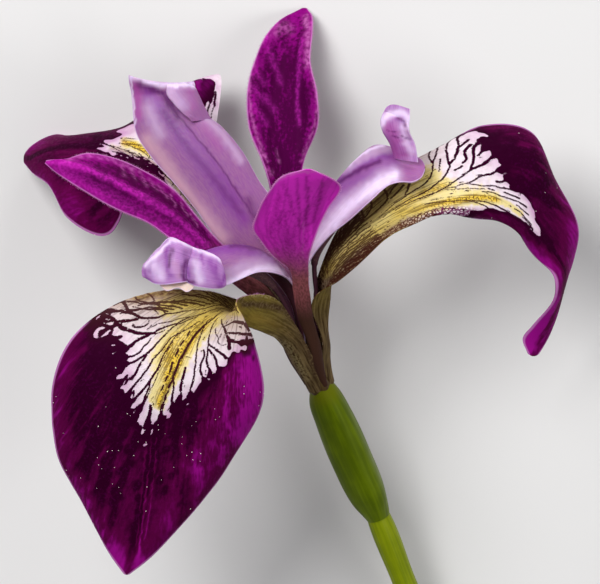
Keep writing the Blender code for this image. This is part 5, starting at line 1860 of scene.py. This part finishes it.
def swept(growth):
    """A circle swept along the line, each point keeping its centre, its turn and its share of the way."""
    line = growth.geometry("MeshToCurve", {"Mesh": growth.given["Geometry"]})
    line = growth.geometry("SetCurveRadius", {"Curve": line, "Radius": growth.stored("radius")})
    place = growth.geometry("InputPosition")
    along = growth.add("GeometryNodeSplineParameter").outputs["Factor"]
    line = growth.store(line, "share", along)
    line = growth.store(line, "centre", place, "FLOAT_VECTOR")
    circle = growth.geometry("CurvePrimitiveCircle", {"Resolution": growth.given["Sides"], "Radius": 1.0})
    circle = growth.store(circle, "turn", growth.times(along, 2 * math.pi))
    sweep = growth.add("GeometryNodeCurveToMesh", {"Curve": line, "Profile Curve": circle, "Fill Caps": True})
    if "Scale" in sweep.inputs:
        growth.feed(growth.stored("radius"), sweep.inputs["Scale"])
    return sweep.outputs[0], place


def stalk_tree(name, material):
    growth = Growth(
        name, ("Sides", "Int", 48), ("Ribs", "Int", 3), ("Rib depth", "Float", 0.05),
        ("Ribs from", "Float", 0.0), ("Ribs to", "Float", 1.0),
    )
    skin, place = swept(growth)
    share, given = growth.stored("share"), growth.given
    inside = growth.times(growth.less(share, given["Ribs from"]), growth.less(given["Ribs to"], share))
    fade = growth.step(inside, 0.0, RIB_FADE)
    wave = growth.maths("COSINE", growth.times(growth.stored("turn"), given["Ribs"]), 0.0)
    height = growth.times(wave, fade, given["Rib depth"])
    out = growth.vector("SUBTRACT", {0: place, 1: growth.stored("centre", "FLOAT_VECTOR")})
    move = growth.vector("SCALE", {0: out, "Scale": height})
    return growth.finish(growth.geometry("SetPosition", {"Geometry": skin, "Offset": move}), material)


def stalk_mesh(name, tree, line, radii, stations, **values):
    """The skin of one stalk. Its line, in mm, and its radii are read at many stations first."""
    line, radii = np.array(line, float), np.array(radii, float)
    knots = run_along(line)
    at = np.linspace(0.0, knots[-1], stations)
    if len(radii) > len(line):
        radius = np.interp(at / at[-1], np.linspace(0, 1, len(radii)), radii)
    else:
        radius = through_knots(knots, radii[:, None], at)[:, 0]
    spine = bpy.data.meshes.new(name)
    points = to_world(through_knots(knots, line, at)).tolist()
    spine.from_pydata(points, [(i, i + 1) for i in range(stations - 1)], [])
    width = spine.attributes.new("radius", "FLOAT", "POINT")
    width.data.foreach_set("value", (radius * MM).astype(np.float32))
    skin = grown(name, spine, tree, **values)
    skin.shade_smooth()
    skin.set_sharp_from_angle(angle=math.radians(SHARP_DEG))
    return skin


# %% [markdown]
# Under a loupe the ovary and stem are a fresh yellow green with fine lengthwise fibres, and the tube is
# brown, because the petals' brown feet cover it.

# %% Tube, ovary and stem
TUBE_RADII = [2.6, 2.35, 1.95, 1.85, 1.7]
OVARY_LINE = [
    (2.2, -6.0, -4.0), (2.9, -7.7, -4.8), (4.4, -11.0, -6.4),
    (7.0, -17.0, -9.2), (9.6, -22.9, -12.0), (10.6, -25.3, -13.1),
]
OVARY_RADII = [1.6, 2.3, 2.75, 2.95, 2.5, 1.75]
STEM_LINE = [
    (9.6, -22.9, -12.0), (10.45, -24.9, -12.95), (14.3, -34.6, -17.4),
    (19.8, -48.4, -23.2), (25.3, -62.1, -28.4),
]
STEM_RADII = [1.3, 1.65, 1.7, 1.8, 1.85]
GREENS = (
    # name, slot, line, radii, stations, sides, ribs, rib depth, dark, light, colour of the ends, from and to
    ("perianth_tube", "tube", TUBE_LINE, TUBE_RADII, 50, 60, 6, 0.05,
     (0.035, 0.014, 0.010), (0.10, 0.065, 0.02), (0.06, 0.03, 0.012), (0.7, 1.0)),
    ("ovary", "green", OVARY_LINE, OVARY_RADII, 90, 72, 3, 0.09,
     (0.070, 0.105, 0.001), (0.115, 0.165, 0.0015), (0.12, 0.14, 0.003), (0.16, 0.04)),
    ("stem", "green", STEM_LINE, STEM_RADII, 90, 56, 14, 0.012,
     (0.155, 0.205, 0.002), (0.23, 0.28, 0.004), (0.30, 0.34, 0.03), (0.985, 0.995)),
)


def green_finish(name, dark, light, ends, end_share):
    net = Network(name)
    share, turn = net["share"], net["turn"]
    mottle = net.noise(net.place, 220.0, 3.0)
    cosine, sine = net.maths("COSINE", turn, 0.0), net.maths("SINE", turn, 0.0)
    fibre = net.noise(net.point(cosine, sine, net.times(share, 0.5)), 5.0, 3.0)
    mixed = net.plus(net.times(mottle, 0.4), net.times(fibre, 0.6))
    colour = net.mix(net.step(mixed, 0.36, 0.62), dark, light)
    colour = net.mix(net.step(share, *end_share), colour, ends)
    net.bump(fibre, 0.06, 0.5)
    return net.surface(
        colour, net.step(mottle, 0.3, 0.7, 0.50, 0.38),
        Specular_IOR_Level=0.12, Specular_Tint=(1.0, 1.0, 0.5),
    )


for name, slot, line, radii, stations, sides, ribs, depth, *colours in GREENS:
    skin_finish = green_finish(name + "_skin", *colours)
    skin_tree = stalk_tree(name + "_tree", skin_finish)
    mesh = stalk_mesh(name, skin_tree, line, radii, stations, Sides=sides, Ribs=ribs, Rib_depth=depth)
    finish_piece("skin_" + name, mesh, skin_finish, slot, name)

# %% Stamens
STAMEN_LINES = {
    "front": [(-2.3, 4.4, 4.6), (-4.9, 8.4, 8.2), (-8.2, 10.2, 11.9), (-11.3, 10.0, 15.2)],
    "right": [(1.7, 5.9, 2.9), (1.6, 12.6, 6.3), (3.9, 16.4, 8.5), (7.2, 19.9, 10.0)],
    "back": [(-3.0, 6.6, 1.6), (-5.8, 12.7, 3.3), (-8.8, 17.8, 3.7), (-12.0, 22.6, 3.6)],
}
STAMEN_SEAT_RADIUS = 1.65
STAMEN_STATIONS = 60
FILAMENT_RADIUS, ANTHER_RADIUS = 0.35, 0.75
ANTHER_START = 0.52
# The stamen's colours are painted shade: a dark mauve brown, far darker than cream pollen, because the
# stamens lie in the shade under the style arms.
FILAMENT_RED = (0.07, 0.02, 0.035)
ANTHER_DUST_AND_SHADE, ANTHER_DARK = (0.16, 0.075, 0.07), (0.08, 0.03, 0.04)


def anther_finish():
    net = Network("powdery_anther")
    dust = net.cells(net.place, 4200.0)
    sac = net.mix(net.step(dust, 0.1, 0.5), ANTHER_DUST_AND_SHADE, ANTHER_DARK)
    colour = net.mix(net.step(net["share"], ANTHER_START, ANTHER_START + 0.04), FILAMENT_RED, sac)
    net.bump(dust, 0.05, 0.8)
    return net.surface(colour, 0.8, Specular_IOR_Level=0.2)


anther_material = anther_finish()
stamen_tree = stalk_tree("stamen_tree", anther_material)


def make_stamen(side):
    """A thin filament, then two long pollen sacs with a groove between them."""
    name = "stamen_" + side
    line = [ring_point(FALL_AZIMUTH[side], STAMEN_SEAT_RADIUS, -SEAT_DEPTH)] + STAMEN_LINES[side]
    into = np.clip((np.linspace(0, 1, STAMEN_STATIONS) - ANTHER_START) / (1 - ANTHER_START), 0, 1)
    swell = np.where(into > 0, np.sin(math.pi * np.minimum(1.0, 0.1 + 0.86 * into)), 0.0)
    radii = FILAMENT_RADIUS + (ANTHER_RADIUS - FILAMENT_RADIUS) * swell
    groove = {"Sides": 16, "Ribs": 2, "Rib_depth": 0.14, "Ribs_from": ANTHER_START}
    mesh = stalk_mesh(name, stamen_tree, line, radii, STAMEN_STATIONS, **groove)
    finish_piece("skin_" + name, mesh, anther_material, "anther", name)


for side in FALL_AZIMUTH:
    make_stamen(side)

# %% [markdown]
# Grains of pollen lie on the falls. Particles would be lost in an export, so a tree scatters points on
# a copy of each fall's own mesh, thickly where the petal's dust attribute says so, and puts one small
# ball on each.

# %% Pollen on the falls
GRAIN_MM = 0.085
GRAINS_PER_M2 = 900000.0
POLLEN_SEED = 4
POLLEN_COLOUR = (0.80, 0.72, 0.66)


def dust_tree(material):
    growth = Growth(
        "pollen_tree", ("Grain size", "Float", GRAIN_MM * MM), ("Grains", "Float", GRAINS_PER_M2),
        ("Seed", "Int", POLLEN_SEED),
    )
    density = growth.times(growth.stored("dust"), growth.given["Grains"])
    points = growth.geometry("DistributePointsOnFaces", {
        "Mesh": growth.given["Geometry"], "Density": density, "Seed": growth.given["Seed"],
    })
    ball = growth.geometry("MeshIcoSphere", {"Radius": 1.0, "Subdivisions": 1})
    size = growth.times(growth.random(0.45, 1.0), growth.given["Grain size"])
    balls = growth.geometry("InstanceOnPoints", {"Points": points, "Instance": ball, "Scale": size})
    return growth.finish(balls, material)


def join_meshes(name, meshes):
    """Several plain meshes as one."""
    points, faces, start = [], [], 0
    for mesh in meshes:
        points += [v.co[:] for v in mesh.vertices]
        faces += [[corner + start for corner in face.vertices] for face in mesh.polygons]
        start += len(mesh.vertices)
    joined_mesh = bpy.data.meshes.new(name)
    joined_mesh.from_pydata(points, [], faces)
    joined_mesh.shade_smooth()
    return joined_mesh


pollen_material = Network("pollen_grain").surface(POLLEN_COLOUR, 0.7, Specular_IOR_Level=0.2)
pollen_tree = dust_tree(pollen_material)
dusted = [
    grown("dusted", fall.data.copy(), pollen_tree, Seed=POLLEN_SEED + k) for k, fall in enumerate(falls)
]
finish_piece("petal_pollen", join_meshes("petal_pollen", dusted), pollen_material, "anther")

# %% [markdown]
# Fine hairs stand out along the margins of the standards and of the front fall's claw. Each is a thin
# pointed cone; the tree turns it along the way in which the sheet ends there.

# %% Fringe of hairs
HAIR_STEP_MM, HAIR_LONG_MM, HAIR_THICK_MM = 0.16, 0.34, 0.035
HAIR_STRAY = 0.22
HAIR_SEED = 80
HAIR_COLOUR = (0.55, 0.22, 0.46)


def hair_tree(material):
    growth = Growth(
        "hair_tree", ("Hair length", "Float", HAIR_LONG_MM * MM), ("Hair width", "Float", HAIR_THICK_MM * MM),
        ("Seed", "Int", 7),
    )
    cone = growth.geometry("MeshCone", {
        "Vertices": 4, "Radius Top": 0.15, "Radius Bottom": 1.0, "Depth": 1.0,
    })
    way = {"Vector": growth.stored("way", "FLOAT_VECTOR")}
    turn = growth.add("FunctionNodeAlignRotationToVector", way).outputs[0]
    long = growth.times(growth.random(0.4, 1.0), growth.given["Hair length"])
    wide = growth.given["Hair width"]
    size = growth.point(wide, wide, long)
    hairs = growth.geometry("InstanceOnPoints", {
        "Points": growth.given["Geometry"], "Instance": cone, "Rotation": turn, "Scale": size,
    })
    return growth.finish(hairs, material)


def hair_roots(name, margin, inner, seed):
    """Points along a margin, in mm, each with the way in which the sheet ends there."""
    rng = np.random.default_rng(seed)
    knots = run_along(margin)
    at = np.arange(0.0, knots[-1], HAIR_STEP_MM)
    roots = np.column_stack([np.interp(at, knots, margin[:, axis]) for axis in range(3)])
    ways = np.column_stack([np.interp(at, knots, (margin - inner)[:, axis]) for axis in range(3)])
    ways = ways / np.linalg.norm(ways, axis=1, keepdims=True) + rng.normal(0.0, HAIR_STRAY, ways.shape)
    mesh = bpy.data.meshes.new(name)
    mesh.from_pydata(to_world(roots).tolist(), [], [])
    way = mesh.attributes.new("way", "FLOAT_VECTOR", "POINT")
    way.data.foreach_set("vector", (ways @ laid_rotation.T).astype(np.float32).ravel())
    return mesh


hair_material = Network("petal_hair").surface(HAIR_COLOUR, 0.5, Specular_IOR_Level=0.3)
fringe_tree = hair_tree(hair_material)
fringes = [
    grown("fringe", hair_roots("roots", *edge, HAIR_SEED + k), fringe_tree) for k, edge in enumerate(MARGINS)
]
finish_piece("petal_fringe", join_meshes("petal_fringe", fringes), hair_material, "standard")

# %% [markdown]
# The stage is a plain pale floor under soft studio light: one broad key from the upper left, a weaker
# fill from the right and a strip from above that draws the pale rims.

# %% Floor and light
FLOOR_HALF_M, FLOOR_COLOUR = 3.0, (0.74, 0.73, 0.72)
WORLD_COLOUR, WORLD_STRENGTH = (0.9, 0.92, 1.0, 1.0), 0.16
LIGHTS = (
    # name, direction in the flower's frame, distance in m, size in m, watts
    ("key", (-0.5, 0.45, 1.0), 0.7, 0.35, 4.8),
    ("fill", (0.8, -0.4, 0.9), 0.8, 0.5, 2.4),
    ("strip", (0.3, 0.95, 0.35), 0.7, 0.25, 2.0),
)

h = FLOOR_HALF_M
floor_mesh = bpy.data.meshes.new("floor")
floor_mesh.from_pydata([(-h, -h, 0), (h, -h, 0), (h, h, 0), (-h, h, 0)], [], [(0, 1, 2, 3)])
floor_mesh.materials.append(Network("pale_floor").surface(FLOOR_COLOUR, 0.85))
floor = placed("floor", floor_mesh)

for name, direction, away, size, watts in LIGHTS:
    light = placed(name, bpy.data.lights.new(name, "AREA"))
    light.data.size, light.data.energy = size, watts
    out = Vector(direction).normalized()
    centre = Matrix.Translation(Vector(CAMERA_AIM) * MM + out * away)
    light.matrix_world = laid @ centre @ out.to_track_quat("Z", "Y").to_matrix().to_4x4()

world = bpy.data.worlds.new("studio")
bpy.context.scene.world = world
world.use_nodes = True
world.node_tree.nodes["Background"].inputs["Color"].default_value = WORLD_COLOUR
world.node_tree.nodes["Background"].inputs["Strength"].default_value = WORLD_STRENGTH
bpy.context.scene.view_settings.view_transform = "Standard"
print("lights:", [light[0] for light in LIGHTS])
